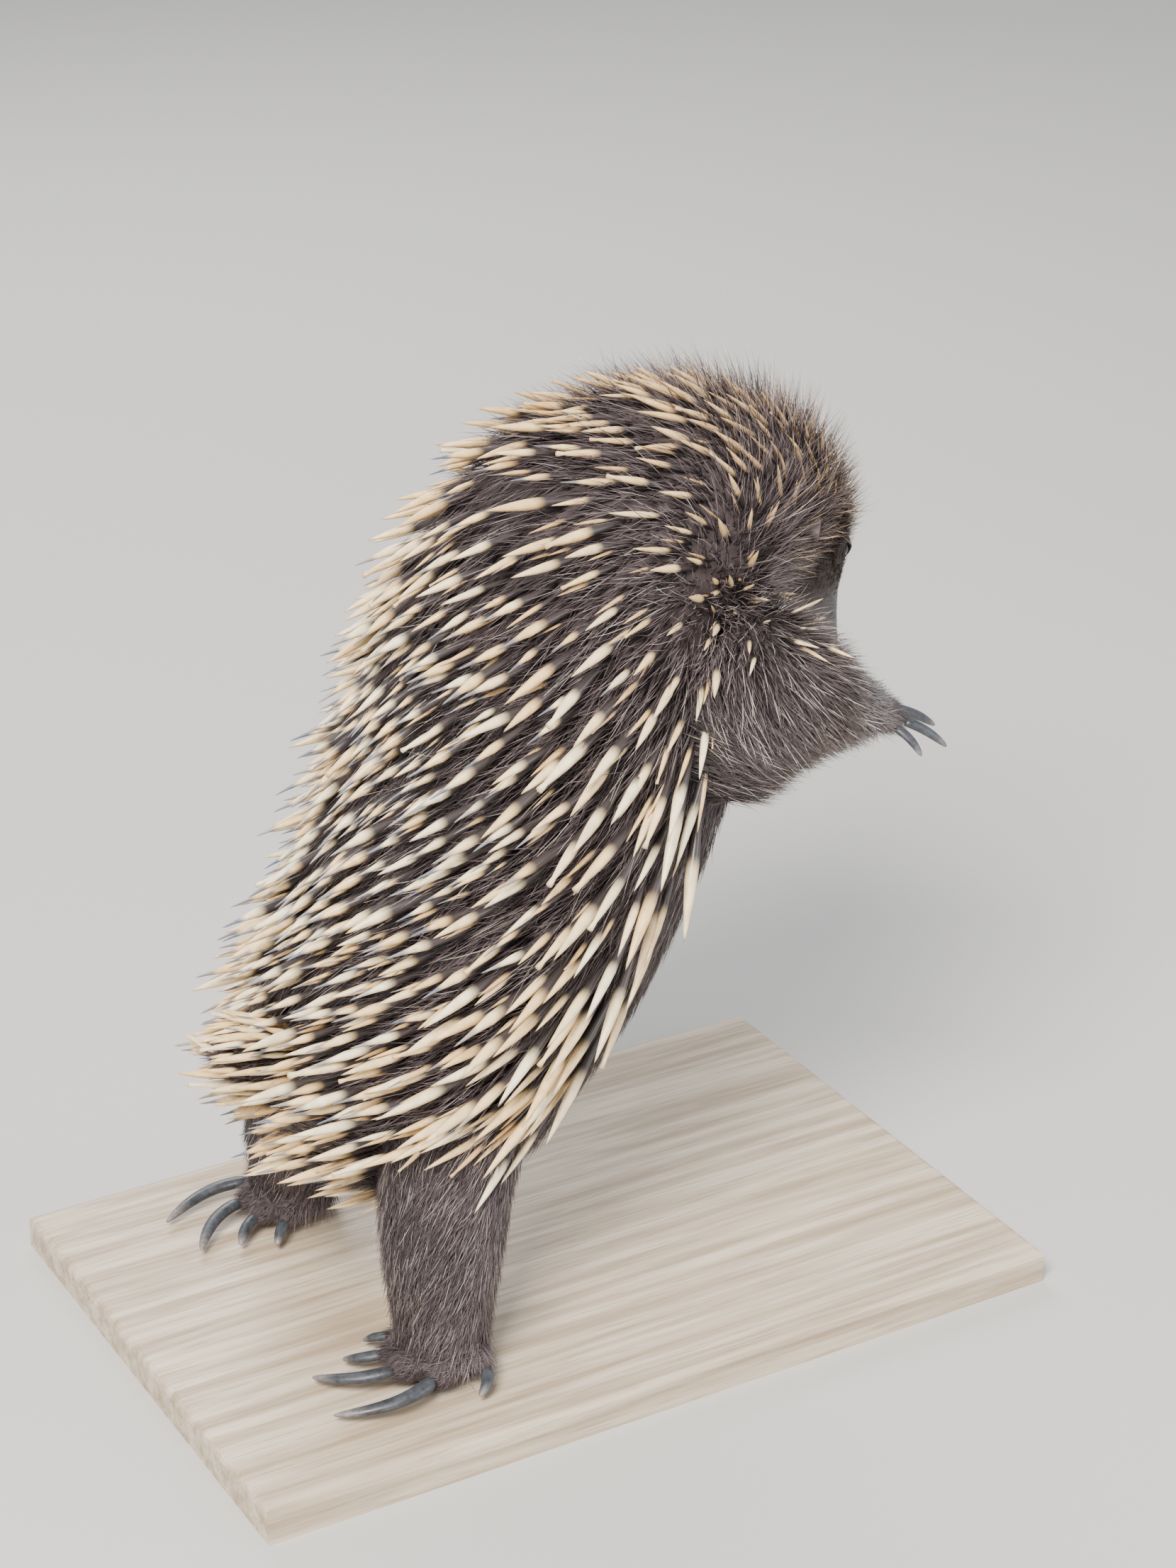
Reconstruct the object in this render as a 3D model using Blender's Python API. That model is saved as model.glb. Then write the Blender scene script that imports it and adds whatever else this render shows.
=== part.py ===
"""A short-beaked echidna, life size, reared up on its hind legs with its forefeet raised and its
beak bowed between them, on a flat display base. Metres, +Z up. The animal faces +X, its left is
+Y, and the origin is the centre of the base's underside."""

import math
import random

import bmesh
import bpy
import numpy as np
from mathutils import Matrix, Vector
from mathutils.bvhtree import BVHTree

MM = 0.001
GAP = 0.3 * MM  # clearance between pieces that meet face to face
TINY = 0.2 * MM

# The display base covers the animal's own plan. The hind feet stand behind its middle.
BASE_LENGTH = 300 * MM
BASE_WIDTH = 200 * MM
BASE_THICKNESS = 12 * MM
BASE_EDGE = 2 * MM
FEET_X = -72 * MM

# Stations are in millimetres from the ground between the hind feet: place x, y, z, half width,
# and depth to the back and to the belly.
BODY_STATIONS = {
    "rump": (6, 0, 46, 50, 45, 44),
    "loin": (27, 0, 90, 60, 50, 54),
    "waist": (53, 0, 133, 65, 54, 61),
    "back": (75, 0, 176, 66, 57, 62),
    "chest": (91, 0, 215, 64, 60, 60),
    "shoulders": (105, 0, 243, 59, 59, 50),
    "neck base": (121, 0, 256, 52, 51, 38),
    "nape": (137, 1, 261, 43.5, 42, 32),
    "occiput": (151, 2, 261, 36, 34, 28),
    "crown": (164, 4, 256, 30, 28, 25),
    "brow": (176, 7, 247, 23.5, 21.5, 22),
    "eyes": (185, 10, 234, 17, 15.5, 17),
    "beak root": (191, 13, 216, 10.5, 9.5, 10),
    "mid beak": (198, 17, 195, 7, 6.5, 6.5),
    "beak tip": (205, 21, 174, 5.2, 4.6, 4.6),
}
RUMP_ROUNDING = 46 * MM
BEAK_ROUNDING = 5 * MM

# The body is parted at these stations: where a piece starts and ends, its rings and its sides.
BODY_PIECES = {
    "torso": ("rump", "neck base", 23, 26),
    "neck": ("neck base", "occiput", 5, 22),
    "head": ("occiput", "beak root", 11, 20),
    "beak": ("beak root", "beak tip", 12, 14),
}
RUMP_RINGS_BUNCH = 0.5  # draws the torso's rings towards the rump's rounding

# The tail's stub, from its tip to its root inside the rump.
TAIL_STATIONS = {
    "tip": (-42, 0, 108, 9, 8, 8),
    "middle": (-31, 0, 102, 12, 11, 11),
    "root": (-6, 0, 89, 16, 15, 15),
}
TAIL_ROUNDING = 9 * MM

# The legs, from inside the body to the foot. y is measured away from the middle of the body.
HIND_LEG_STATIONS = {
    "hip": (26, 36, 96, 20, 27, 27),
    "thigh": (14, 47, 64, 21.5, 23.5, 23.5),
    "knee": (9, 53, 42, 19.5, 20.5, 20.5),
    "ankle": (7, 56, 22, 15.5, 16.5, 16.5),
    "sole": (7, 57, 6, 13, 13, 13),
}
HIND_FOOT_STATIONS = {
    "heel": (20, 56, 8, 10, 6, 9),
    "instep": (8, 57, 9, 15, 10, 10),
    "ball": (-7, 57, 8, 14, 7, 9),
}
RIGHT_FORELEG_STATIONS = {
    "shoulder": (96, 36, 208, 27, 34, 34),
    "elbow": (126, 46, 212, 26, 36, 34),
    "wrist": (148, 50, 208, 19, 22, 20),
    "palm": (164, 50, 203, 14, 11.5, 10),
    "knuckles": (175, 49, 202, 10.5, 7, 6.5),
}
LEFT_FORELEG_STATIONS = {
    "shoulder": (96, 36, 206, 27, 34, 34),
    "elbow": (125, 48, 207, 26, 35, 34),
    "wrist": (146, 54, 199, 19, 21, 20),
    "palm": (161, 56, 193, 14, 11.5, 10),
    "knuckles": (173, 57, 191, 10.5, 7, 6.5),
}

# Hind digits one to five: where the toe starts, where its claw starts, where the claw ends, and
# the claw's half thickness. The hind claws lie on the ground behind the foot.
HIND_DIGITS = (
    ((12, 64, 8), (13, 74, 7), (6, 82, 3), 2.8),
    ((4, 65, 8), (-4, 71, 7.5), (-42, 65, 2.6), 3.6),
    ((-2, 60, 8), (-13, 60, 7.5), (-37, 42, 2.6), 3.4),
    ((-2, 52, 8), (-12, 49, 7), (-23, 39, 2.8), 2.9),
    ((2, 48, 8), (-5, 41, 7), (-12, 33, 2.8), 2.6),
)
# Fore digits: the angle in the paw, the lengths of toe and claw, and the claw's half thickness.
FORE_DIGITS = (
    (-56, 18, 12, 2.4),
    (-28, 20, 18, 2.9),
    (0, 21, 21, 3.1),
    (28, 20, 18, 2.9),
    (56, 18, 12, 2.4),
)
FORE_CLAW_DROP = 7 * MM
FORE_TOE_START = 4 * MM  # from the middle of the palm
FORE_TOE_DROP = 1.5 * MM
TOE_OVER_CLAW = 1.25
TOE_FLARE = 1.25  # how much stouter a toe starts than it ends
FOOT_ROUNDING = 6 * MM
PAW_ROUNDING = 9 * MM
CLAW_FLATNESS = 0.72
CLAW_SIDES = 6
CLAW_TAPER = ((0, 1), (0.3, 0.94), (0.6, 0.76), (0.85, 0.44))  # half thickness along the claw
CLAW_BEND = 0.45

EYE_RADIUS = 4.2 * MM
EYE_TURN = math.radians(78)
EYE_BEFORE_STATION = 4 * MM
EYE_DEPTH = 2.4 * MM  # the eye's centre below the head's surface
LID_THICKNESS = 1.1 * MM

EAR_TURN = math.radians(90)
EAR_BEHIND_BROW = 28 * MM
EAR_BOWL = (7.5 * MM, 4.8 * MM, 5.0 * MM)  # half length, half width and half depth
EAR_WALL = 1.4 * MM
EAR_TILT = 0.35  # how far the bowl opens forwards
EAR_SEAT = (20, 40)  # rings and sides of the form that the ear is cut to

MOUTH_LENGTH = 9 * MM
MOUTH_HEIGHT = 0.7 * MM
MOUTH_WIDTH = 20 * MM  # wider than the beak, so that the line shows on both sides
MOUTH_BELOW_AXIS = 1.6 * MM
NOSTRIL_RADIUS = 0.8 * MM
NOSTRIL_BEHIND_TIP = 6 * MM
NOSTRIL_APART = 2.2 * MM
NOSTRIL_SPREAD = 0.5  # how far the nostrils look to the sides
NOSTRIL_DEPTH = 3 * MM

# The spiny coat, at stations along the body: the half angle that it covers, how far its spines are
# drawn towards the middle of the back, the angle that they stand off the body in the middle of the
# back and at the coat's edge, their length beyond the body at both, their thickness, and how far
# they are apart.
COAT = {
    "rump": (100, 10, 42, 24, 24, 28, 3.4, 13.2),
    "loin": (113, 34, 42, 20, 25, 34, 3.7, 13.2),
    "waist": (116, 44, 42, 19, 23, 37, 3.9, 13.2),
    "back": (112, 46, 44, 19, 23, 37, 3.9, 13),
    "chest": (102, 44, 44, 20, 23, 31, 3.7, 12.4),
    "shoulders": (90, 34, 38, 22, 23, 24, 3.3, 11),
    "neck base": (82, 22, 26, 20, 24, 18, 3.0, 10.5),
    "nape": (78, 14, 17, 18, 20, 14, 2.6, 10.5),
    "occiput": (76, 10, 14, 18, 15, 10, 2.1, 10.5),
    "crown": (72, 8, 16, 20, 11, 8, 1.7, 10.5),
    "brow": (60, 0, 18, 22, 7, 6, 1.4, 10.5),
}
TAIL_COAT = {
    "tip": (165, 0, 30, 34, 16, 14, 2.6, 10.5),
    "root": (165, 0, 46, 46, 22, 18, 3.0, 10.5),
}
ROWS_APART = 0.87  # how close the rows are, against the spines in a row
SPINE_SIDES = 4
SPINE_SINK = 6 * MM
SPINE_CLEARANCE = 0.7 * MM
RAY_STEP = 0.002 * MM
SPINE_TESTS = 28  # places along a spine where its distance to the neighbours is tested
SUNK_TESTS = 6  # and along the part of it that is sunk in the body
SPINE_LIFTS = (0.0, 0.14, 0.28, 0.42, 0.6, 0.8)  # tried in turn where a neighbour is in the way
SPINE_LEAST_STAND = 0.2  # the part of a spine's length that at least stands off the body
SPINE_STOUTEST = 0.45  # the part of its length at which a spine is thickest
SPINE_ROOT_SIZE = 0.7  # its root's thickness against that
COAT_START = 5 * MM  # from the seam that a piece starts at to its first spines
COAT_END = 8 * MM  # from its last spines to the seam that it ends at
TORSO_COAT_START = 15 * MM
TAIL_COAT_START = 6 * MM
TAIL_COAT_END = 18 * MM
COAT_SEED = 11
# How far a spine strays at random from its regular place, lie and length.
ROUND_STRAY = 0.3
ALONG_STRAY = 0.18
DRAW_STRAY = 0.12
STAND_STRAY = 0.08
LENGTH_SPREAD = (0.85, 1.15)
DRAW_CURVE = 0.7  # evens out the draw between the back and the coat's edge
STAND_CURVE = 3  # keeps the stand of the back until close to the coat's edge

# Low on the rump the spines turn from running down the body to standing out behind it.
RUMP_FLOW = Vector((-1, 0, 0.12)).normalized()
RUMP_FLOW_SHARE = 0.85
RUMP_FLOW_FULL = 35 * MM
RUMP_FLOW_END = 100 * MM
RUMP_FLOW_AT_EDGE = 0.55  # how much of it is lost at the coat's edge


def standing(x, y, z):
    """A point given in millimetres from the ground between the hind feet."""
    return Vector((FEET_X + x * MM, y * MM, BASE_THICKNESS + z * MM))


def catmull_rom(rows, t):
    """The smooth value at t between the rows of a table."""
    last = len(rows) - 1
    i = min(int(t), last - 1)
    f = t - i
    b, c = rows[i], rows[i + 1]
    a = rows[i - 1] if i else 2 * b - c
    d = rows[i + 2] if i + 2 <= last else 2 * c - b
    return 0.5 * (
        2 * b + (c - a) * f + (2 * a - 5 * b + 4 * c - d) * f**2 + (3 * b - a - 3 * c + d) * f**3
    )


class Trunk:
    """A tube of changing oval section along a curved axis, read by the length along that axis."""

    SAMPLES = 600

    def __init__(self, stations, back, start_round=0.0, end_round=0.0, side=1):
        rows = []
        for x, y, z, *sizes in stations.values():
            rows.append(np.array([*standing(x, y * side, z), *(v * MM for v in sizes)]))
        steps = np.linspace(0, len(rows) - 1, self.SAMPLES)
        self.table = np.array([catmull_rom(rows, t) for t in steps])
        gaps = np.linalg.norm(np.diff(self.table[:, :3], axis=0), axis=1)
        self.lengths = np.concatenate([[0], np.cumsum(gaps)])
        self.length = self.lengths[-1]
        self.at = {name: np.interp(i, steps, self.lengths) for i, name in enumerate(stations)}
        self.start_round = start_round
        self.end_round = end_round
        self.tangents = np.gradient(self.table[:, :3], self.lengths, axis=0)
        self.backs = self.carried(Vector(back))

    def carried(self, back):
        """The back's direction, carried along the axis without twist."""
        backs = []
        for tangent in self.tangents:
            tangent = Vector(tangent).normalized()
            back = (back - tangent * back.dot(tangent)).normalized()
            backs.append(tuple(back))
        return np.array(backs)

    def read(self, table, s):
        return np.array([np.interp(s, self.lengths, column) for column in table.T])

    def rounding(self, s):
        """How far the section is drawn in near a rounded end."""
        share = 1.0
        for distance, reach in ((s, self.start_round), (self.length - s, self.end_round)):
            if reach and distance < reach:
                share *= math.sqrt(max(0.0, 1 - (1 - distance / reach) ** 2))
        return share

    def axes(self, s):
        """The centre, tangent, back and left of the section at s."""
        tangent = Vector(self.read(self.tangents, s)).normalized()
        back = Vector(self.read(self.backs, s))
        back = (back - tangent * back.dot(tangent)).normalized()
        return Vector(self.read(self.table[:, :3], s)), tangent, back, back.cross(tangent)

    def sizes(self, s):
        return [v * self.rounding(s) for v in self.read(self.table[:, 3:], s)]

    def point(self, s, turn):
        """The surface point at s, turned from the back towards the left by turn."""
        centre, _, back, left = self.axes(s)
        half, over, under = self.sizes(s)
        across = over if math.cos(turn) > 0 else under
        return centre + left * half * math.sin(turn) + back * across * math.cos(turn)

    def surface(self, s, turn):
        """The point, its outward normal, and the directions to the start and to the back."""
        step = 0.5 * MM
        low = max(s - step, TINY)
        high = min(s + step, self.length - TINY)
        here = self.point(s, turn)
        ahead = self.point(high, turn) - self.point(low, turn)
        around = self.point(s, turn + 0.01) - self.point(s, turn - 0.01)
        normal = ahead.cross(around).normalized()
        if normal.dot(here - self.axes(s)[0]) < 0:
            normal.negate()
        to_back = around.normalized() * (-1 if turn > 0 else 1)
        return here, normal, -ahead.normalized(), to_back

    def mesh(self, start, end, rings, sides, gap=0.0, bunch=0.0):
        """A closed loft from start to end, a gap larger all over. bunch draws the rings
        towards the start."""
        bm = bmesh.new()
        made = []
        for i in range(rings):
            share = i / (rings - 1)
            share += bunch * (1 - math.cos(share * math.pi / 2) - share)
            s = min(max(start + (end - start) * share, TINY), self.length - TINY)
            ring = []
            for k in range(sides):
                turn = 2 * math.pi * (k + 0.5) / sides - math.pi
                here, normal, _, _ = self.surface(s, turn)
                ring.append(bm.verts.new(here + normal * gap))
            made.append(ring)
        for low, high in zip(made, made[1:]):
            for k in range(sides):
                n = (k + 1) % sides
                bm.faces.new((low[k], low[n], high[n]))
                bm.faces.new((low[k], high[n], high[k]))
        bm.faces.new(made[0][::-1])
        bm.faces.new(made[-1])
        bmesh.ops.recalc_face_normals(bm, faces=bm.faces)
        bmesh.ops.triangulate(bm, faces=bm.faces[:])
        return bm


def new_material(name, colour, roughness):
    material = bpy.data.materials.new(name)
    material.use_nodes = True
    shader = material.node_tree.nodes["Principled BSDF"]
    shader.inputs["Base Color"].default_value = (*colour, 1)
    shader.inputs["Roughness"].default_value = roughness
    material.diffuse_color = (*colour, 1)
    return material


def new_object(name, bm, collection, material=None):
    mesh = bpy.data.meshes.new(name)
    bm.to_mesh(mesh)
    bm.free()
    obj = bpy.data.objects.new(name, mesh)
    collection.objects.link(obj)
    if material:
        mesh.materials.append(material)
    return obj


def new_collection(name):
    collection = bpy.data.collections.new(name)
    bpy.context.scene.collection.children.link(collection)
    return collection


def boolean(obj, operation, pieces):
    """Joins the collection's pieces to obj or cuts them from it, and removes them."""
    modifier = obj.modifiers.new("pieces", "BOOLEAN")
    modifier.operation = operation
    modifier.solver = "EXACT"
    modifier.operand_type = "COLLECTION"
    modifier.collection = pieces
    graph = bpy.context.evaluated_depsgraph_get()
    result = bpy.data.meshes.new_from_object(obj.evaluated_get(graph))
    obj.modifiers.clear()
    obj.data = result
    for piece in list(pieces.objects):
        bpy.data.objects.remove(piece)
    bpy.data.collections.remove(pieces)
    keep_largest(obj)


def keep_largest(obj):
    """Drops every closed surface but the largest."""
    bm = bmesh.new()
    bm.from_mesh(obj.data)
    left = set(bm.faces)
    largest = set()
    while left:
        island = set()
        front = [left.pop()]
        while front:
            face = front.pop()
            island.add(face)
            near = {other for edge in face.edges for other in edge.link_faces} & left
            left -= near
            front.extend(near)
        if len(island) > len(largest):
            largest = island
    scraps = [face for face in bm.faces if face not in largest]
    bmesh.ops.delete(bm, geom=scraps, context="FACES")
    bm.to_mesh(obj.data)
    bm.free()


def facing(place, direction, up):
    """A move to place with a turn that points +Z along direction and keeps +X close to up."""
    z = direction.normalized()
    x = (up - z * up.dot(z)).normalized()
    return Matrix.Translation(place) @ Matrix((x, z.cross(x), z)).transposed().to_4x4()


def add_ball(name, place, sizes, collection, material=None, segments=(14, 9)):
    """A sphere drawn out to three half sizes along the axes of place."""
    bm = bmesh.new()
    bmesh.ops.create_uvsphere(bm, u_segments=segments[0], v_segments=segments[1], radius=1)
    matrix = place @ Matrix.Diagonal((*sizes, 1))
    bmesh.ops.transform(bm, matrix=matrix, verts=bm.verts)
    return new_object(name, bm, collection, material)


def add_cone(name, place, segments, radius1, radius2, depth, collection):
    bm = bmesh.new()
    bmesh.ops.create_cone(
        bm, cap_ends=True, segments=segments, radius1=radius1, radius2=radius2, depth=depth
    )
    bmesh.ops.transform(bm, matrix=place, verts=bm.verts)
    return new_object(name, bm, collection)


def add_box(name, place, sizes, collection):
    bm = bmesh.new()
    bmesh.ops.create_cube(bm, size=1)
    bmesh.ops.transform(bm, matrix=place @ Matrix.Diagonal((*sizes, 1)), verts=bm.verts)
    return new_object(name, bm, collection)


def body_mesh(trunk, name):
    """One piece of the body."""
    start, end, rings, sides = BODY_PIECES[name]
    bunch = RUMP_RINGS_BUNCH if name == "torso" else 0.0
    low, high = trunk.at[start] + GAP / 2, trunk.at[end] - GAP / 2
    return trunk.mesh(low, high, rings, sides, bunch=bunch)


def body_cutter(trunk):
    """A new collection with the body's pieces, each set outwards by a gap, to cut their
    neighbours clear."""
    cutters = new_collection("body cutter")
    for name in BODY_PIECES:
        bm = body_mesh(trunk, name)
        bm.normal_update()
        moves = [(v, v.normal * GAP * v.calc_shell_factor()) for v in bm.verts]
        for v, move in moves:
            v.co += move
        new_object(name + " form", bm, cutters)
    return cutters


class Coat:
    """The spines that grow from a trunk, read by the length along it."""

    def __init__(self, trunk, rows):
        self.trunk = trunk
        self.lengths = [trunk.at[name] for name in rows]
        self.columns = list(zip(*rows.values()))

    def at(self, s):
        """The cover, draw and stand angles, the lengths, thickness and spacing at s."""
        row = [np.interp(s, self.lengths, column) for column in self.columns]
        return [math.radians(v) for v in row[:4]] + [v * MM for v in row[4:]]

    def roots(self, start, end, rng):
        """The length along the body and the turn of each spine, in staggered rows."""
        rows = [start]
        while rows[-1] < end:
            rows.append(rows[-1] + self.at(rows[-1])[-1] * ROWS_APART)
        squeeze = (end - start) / (rows[-1] - start)
        roots = []
        for row, place in enumerate(rows):
            s = start + (place - start) * squeeze
            cover, *_, apart = self.at(s)
            half, over, _ = self.trunk.sizes(s)
            count = max(1, round(cover * (half + over) / apart))
            for i in range(count):
                turn = cover * (2 * (i + 0.25 + 0.5 * (row % 2)) / count - 1)
                turn += rng.uniform(-ROUND_STRAY, ROUND_STRAY) * cover / count
                roots.append((s + rng.uniform(-ALONG_STRAY, ALONG_STRAY) * apart, turn))
        return roots

    def spine(self, s, turn, rng):
        """The root, normal, length, radius and direction for each lift of one spine."""
        cover, draw, stand_mid, stand_edge, long_mid, long_edge, thickness, _ = self.at(s)
        root, normal, to_rump, to_back = self.trunk.surface(s, turn)
        edge = min(1.0, abs(turn) / cover)
        draw = draw * math.sin(math.pi * edge) ** DRAW_CURVE
        draw += rng.uniform(-DRAW_STRAY, DRAW_STRAY)
        stand = stand_mid + (stand_edge - stand_mid) * edge**STAND_CURVE
        stand += rng.uniform(-STAND_STRAY, STAND_STRAY)
        length = (long_mid + (long_edge - long_mid) * edge) * rng.uniform(*LENGTH_SPREAD)
        flat = to_rump * math.cos(draw) + to_back * math.sin(draw)
        directions = []
        for lift in SPINE_LIFTS:
            angle = stand + lift
            directions.append(flat * math.cos(angle) + normal * math.sin(angle))
        return root, normal, length, thickness / 2, directions


def add_spine(name, root, normal, direction, length, radius, collection):
    """One spine, stout to its middle and tapering to its tip."""
    low = -SPINE_SINK
    middle = length * SPINE_STOUTEST
    bm = bmesh.new()
    bmesh.ops.create_cone(
        bm,
        cap_ends=True,
        segments=SPINE_SIDES,
        radius1=radius * SPINE_ROOT_SIZE,
        radius2=radius,
        depth=middle - low,
    )
    bmesh.ops.translate(bm, vec=(0, 0, (middle + low) / 2), verts=bm.verts)
    top = max(bm.faces, key=lambda face: face.calc_center_median().z)
    poked = bmesh.ops.poke(bm, faces=[top])
    poked["verts"][0].co.z = length
    bmesh.ops.transform(bm, matrix=facing(root, direction, normal), verts=bm.verts)
    new_object(name, bm, collection)


def surface_of(obj):
    bm = bmesh.new()
    bm.from_mesh(obj.data)
    tree = BVHTree.FromBMesh(bm)
    bm.free()
    return tree


def is_clear(points, reach, surfaces):
    """Whether every point keeps reach from the surfaces. The points lie closer than that."""
    return all(surface.find_nearest(p)[3] >= reach for surface in surfaces for p in points)


def is_inside(point, surfaces):
    """Whether a ray upwards from the point leaves a closed surface an odd number of times."""
    up = Vector((0, 0, 1))
    for surface in surfaces:
        inside = False
        hit = surface.ray_cast(point, up)[0]
        while hit:
            inside = not inside
            hit = surface.ray_cast(hit + up * RAY_STEP, up)[0]
        if inside:
            return True
    return False


def rump_flow(s, edge):
    """How far a spine follows the rump's flow at s, and between the back and the coat's edge."""
    share = (RUMP_FLOW_END - s) / (RUMP_FLOW_END - RUMP_FLOW_FULL)
    near_middle = 1 - RUMP_FLOW_AT_EDGE * edge**STAND_CURVE
    return RUMP_FLOW_SHARE * min(1.0, max(0.0, share)) * near_middle


def grow_spines(obj, collection, coat, start, end, low_flow=False):
    """Fuses a coat of spines to obj, each raised until it is clear of the other objects."""
    rng = random.Random(COAT_SEED)
    surfaces = [surface_of(other) for other in collection.objects if other is not obj]
    spines = new_collection(obj.name + " spines")
    for i, (s, turn) in enumerate(coat.roots(start, end, rng)):
        root, normal, length, radius, directions = coat.spine(s, turn, rng)
        if is_inside(root, surfaces):
            continue
        flow = rump_flow(s, abs(turn) / coat.at(s)[0]) if low_flow else 0.0
        for direction in directions:
            direction = direction.lerp(RUMP_FLOW, flow).normalized()
            if direction.dot(normal) < SPINE_LEAST_STAND:
                lacking = SPINE_LEAST_STAND - direction.dot(normal)
                direction = (direction + normal * lacking).normalized()
            points = [root + direction * length * k / SPINE_TESTS for k in range(SPINE_TESTS + 1)]
            if min(p.z for p in points) < BASE_THICKNESS + SPINE_CLEARANCE + radius:
                continue
            sunk = [root - direction * SPINE_SINK * k / SUNK_TESTS for k in range(SUNK_TESTS + 1)]
            if is_inside(sunk[-1], surfaces) or not is_clear(sunk, radius + GAP, surfaces):
                continue
            if is_clear(points, radius + SPINE_CLEARANCE, surfaces):
                add_spine(f"spine {i}", root, normal, direction, length, radius, spines)
                break
    boolean(obj, "UNION", spines)


def make_base(collection, material):
    bm = bmesh.new()
    bmesh.ops.create_cube(bm, size=1)
    bmesh.ops.scale(bm, vec=(BASE_LENGTH, BASE_WIDTH, BASE_THICKNESS), verts=bm.verts)
    bmesh.ops.translate(bm, vec=(0, 0, BASE_THICKNESS / 2), verts=bm.verts)
    top = [edge for edge in bm.edges if all(v.co.z > BASE_THICKNESS / 2 for v in edge.verts)]
    bmesh.ops.bevel(bm, geom=top, offset=BASE_EDGE, segments=2, affect="EDGES", profile=0.5)
    new_object("stand_base", bm, collection, material)


def make_claw(name, root, ahead, tip, radius, collection, material):
    """A claw that leaves its flat root straight ahead, curves to its tip and tapers."""
    bend = root + ahead * CLAW_BEND * (tip - root).length
    bm = bmesh.new()
    rings = []
    for share, size in CLAW_TAPER:
        centre = root.lerp(bend, share).lerp(bend.lerp(tip, share), share)
        tangent = (bend - root).lerp(tip - bend, share).normalized()
        side = tangent.cross(Vector((0, 0, 1))).normalized()
        up = side.cross(tangent)
        ring = []
        for k in range(CLAW_SIDES):
            angle = 2 * math.pi * (k + 0.5) / CLAW_SIDES
            across = side * math.cos(angle) + up * math.sin(angle) * CLAW_FLATNESS
            ring.append(bm.verts.new(centre + across * radius * size))
        rings.append(ring)
    point = bm.verts.new(tip)
    for low, high in zip(rings, rings[1:] + [[point] * CLAW_SIDES]):
        for k in range(CLAW_SIDES):
            n = (k + 1) % CLAW_SIDES
            corners = dict.fromkeys((low[k], low[n], high[n], high[k]))
            bm.faces.new(list(corners))
    bm.faces.new(rings[0][::-1])
    bmesh.ops.recalc_face_normals(bm, faces=bm.faces)
    new_object(name, bm, collection, material)


def make_leg(name, leg, foot, digits, cutters, collection, materials):
    """A leg fused with its foot and toes and cut clear of the body, with a claw on each toe."""
    obj = new_object(name, leg.mesh(0, leg.length, 9, 16), collection, materials["fur"])
    pieces = new_collection(name + " pieces")
    if foot:
        new_object(name + " foot", foot.mesh(0, foot.length, 6, 14), pieces)
    up = Vector((0, 0, 1))
    for i, (start, end, tip, radius) in enumerate(digits, 1):
        place = facing((start + end) / 2, end - start, up)
        toe = radius * TOE_OVER_CLAW
        add_cone(f"{name} toe {i}", place, 8, toe * TOE_FLARE, toe, (end - start).length, pieces)
        ahead = (end - start).normalized()
        claw = f"claw_{name}_{i}".replace("leg", "")
        root = end + ahead * GAP
        make_claw(claw, root, ahead, tip, radius, collection, materials["claw"])
    boolean(obj, "UNION", pieces)
    boolean(obj, "DIFFERENCE", cutters)


def make_hind_leg(side_name, side, trunk, collection, materials):
    digits = []
    for toe, root, tip, radius in HIND_DIGITS:
        start, end, claw_tip = (standing(x, y * side, z) for x, y, z in (toe, root, tip))
        digits.append((start, end, claw_tip, radius * MM))
    leg = Trunk(HIND_LEG_STATIONS, (-1, 0, 0), side=side)
    foot = Trunk(HIND_FOOT_STATIONS, (0, 0, 1), FOOT_ROUNDING, FOOT_ROUNDING, side=side)
    cutters = body_cutter(trunk)
    floor = Matrix.Translation((0, 0, BASE_THICKNESS / 2 + GAP))
    add_box("floor", floor, (BASE_LENGTH, BASE_WIDTH, BASE_THICKNESS), cutters)
    make_leg(f"hindleg_{side_name}", leg, foot, digits, cutters, collection, materials)


def make_foreleg(side_name, side, stations, trunk, collection, materials):
    leg = Trunk(stations, (0, 0, 1), 0, PAW_ROUNDING, side=side)
    palm, ahead, up, left = leg.axes(leg.at["palm"])
    digits = []
    for angle, toe, claw, radius in FORE_DIGITS:
        turn = math.radians(angle)
        out = ahead * math.cos(turn) + left * math.sin(turn)
        end = palm + out * toe * MM - up * FORE_TOE_DROP
        tip = end + out * claw * MM - up * FORE_CLAW_DROP
        digits.append((palm + out * FORE_TOE_START, end, tip, radius * MM))
    name = f"foreleg_{side_name}"
    make_leg(name, leg, None, digits, body_cutter(trunk), collection, materials)


def make_tail(trunk, collection, material):
    """The bare stub of the tail, and its trunk for the spines."""
    tail = Trunk(TAIL_STATIONS, (-1, 0, 1), TAIL_ROUNDING)
    obj = new_object("tail", tail.mesh(0, tail.length, 7, 12), collection, material)
    boolean(obj, "DIFFERENCE", body_cutter(trunk))
    return obj, tail


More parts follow.
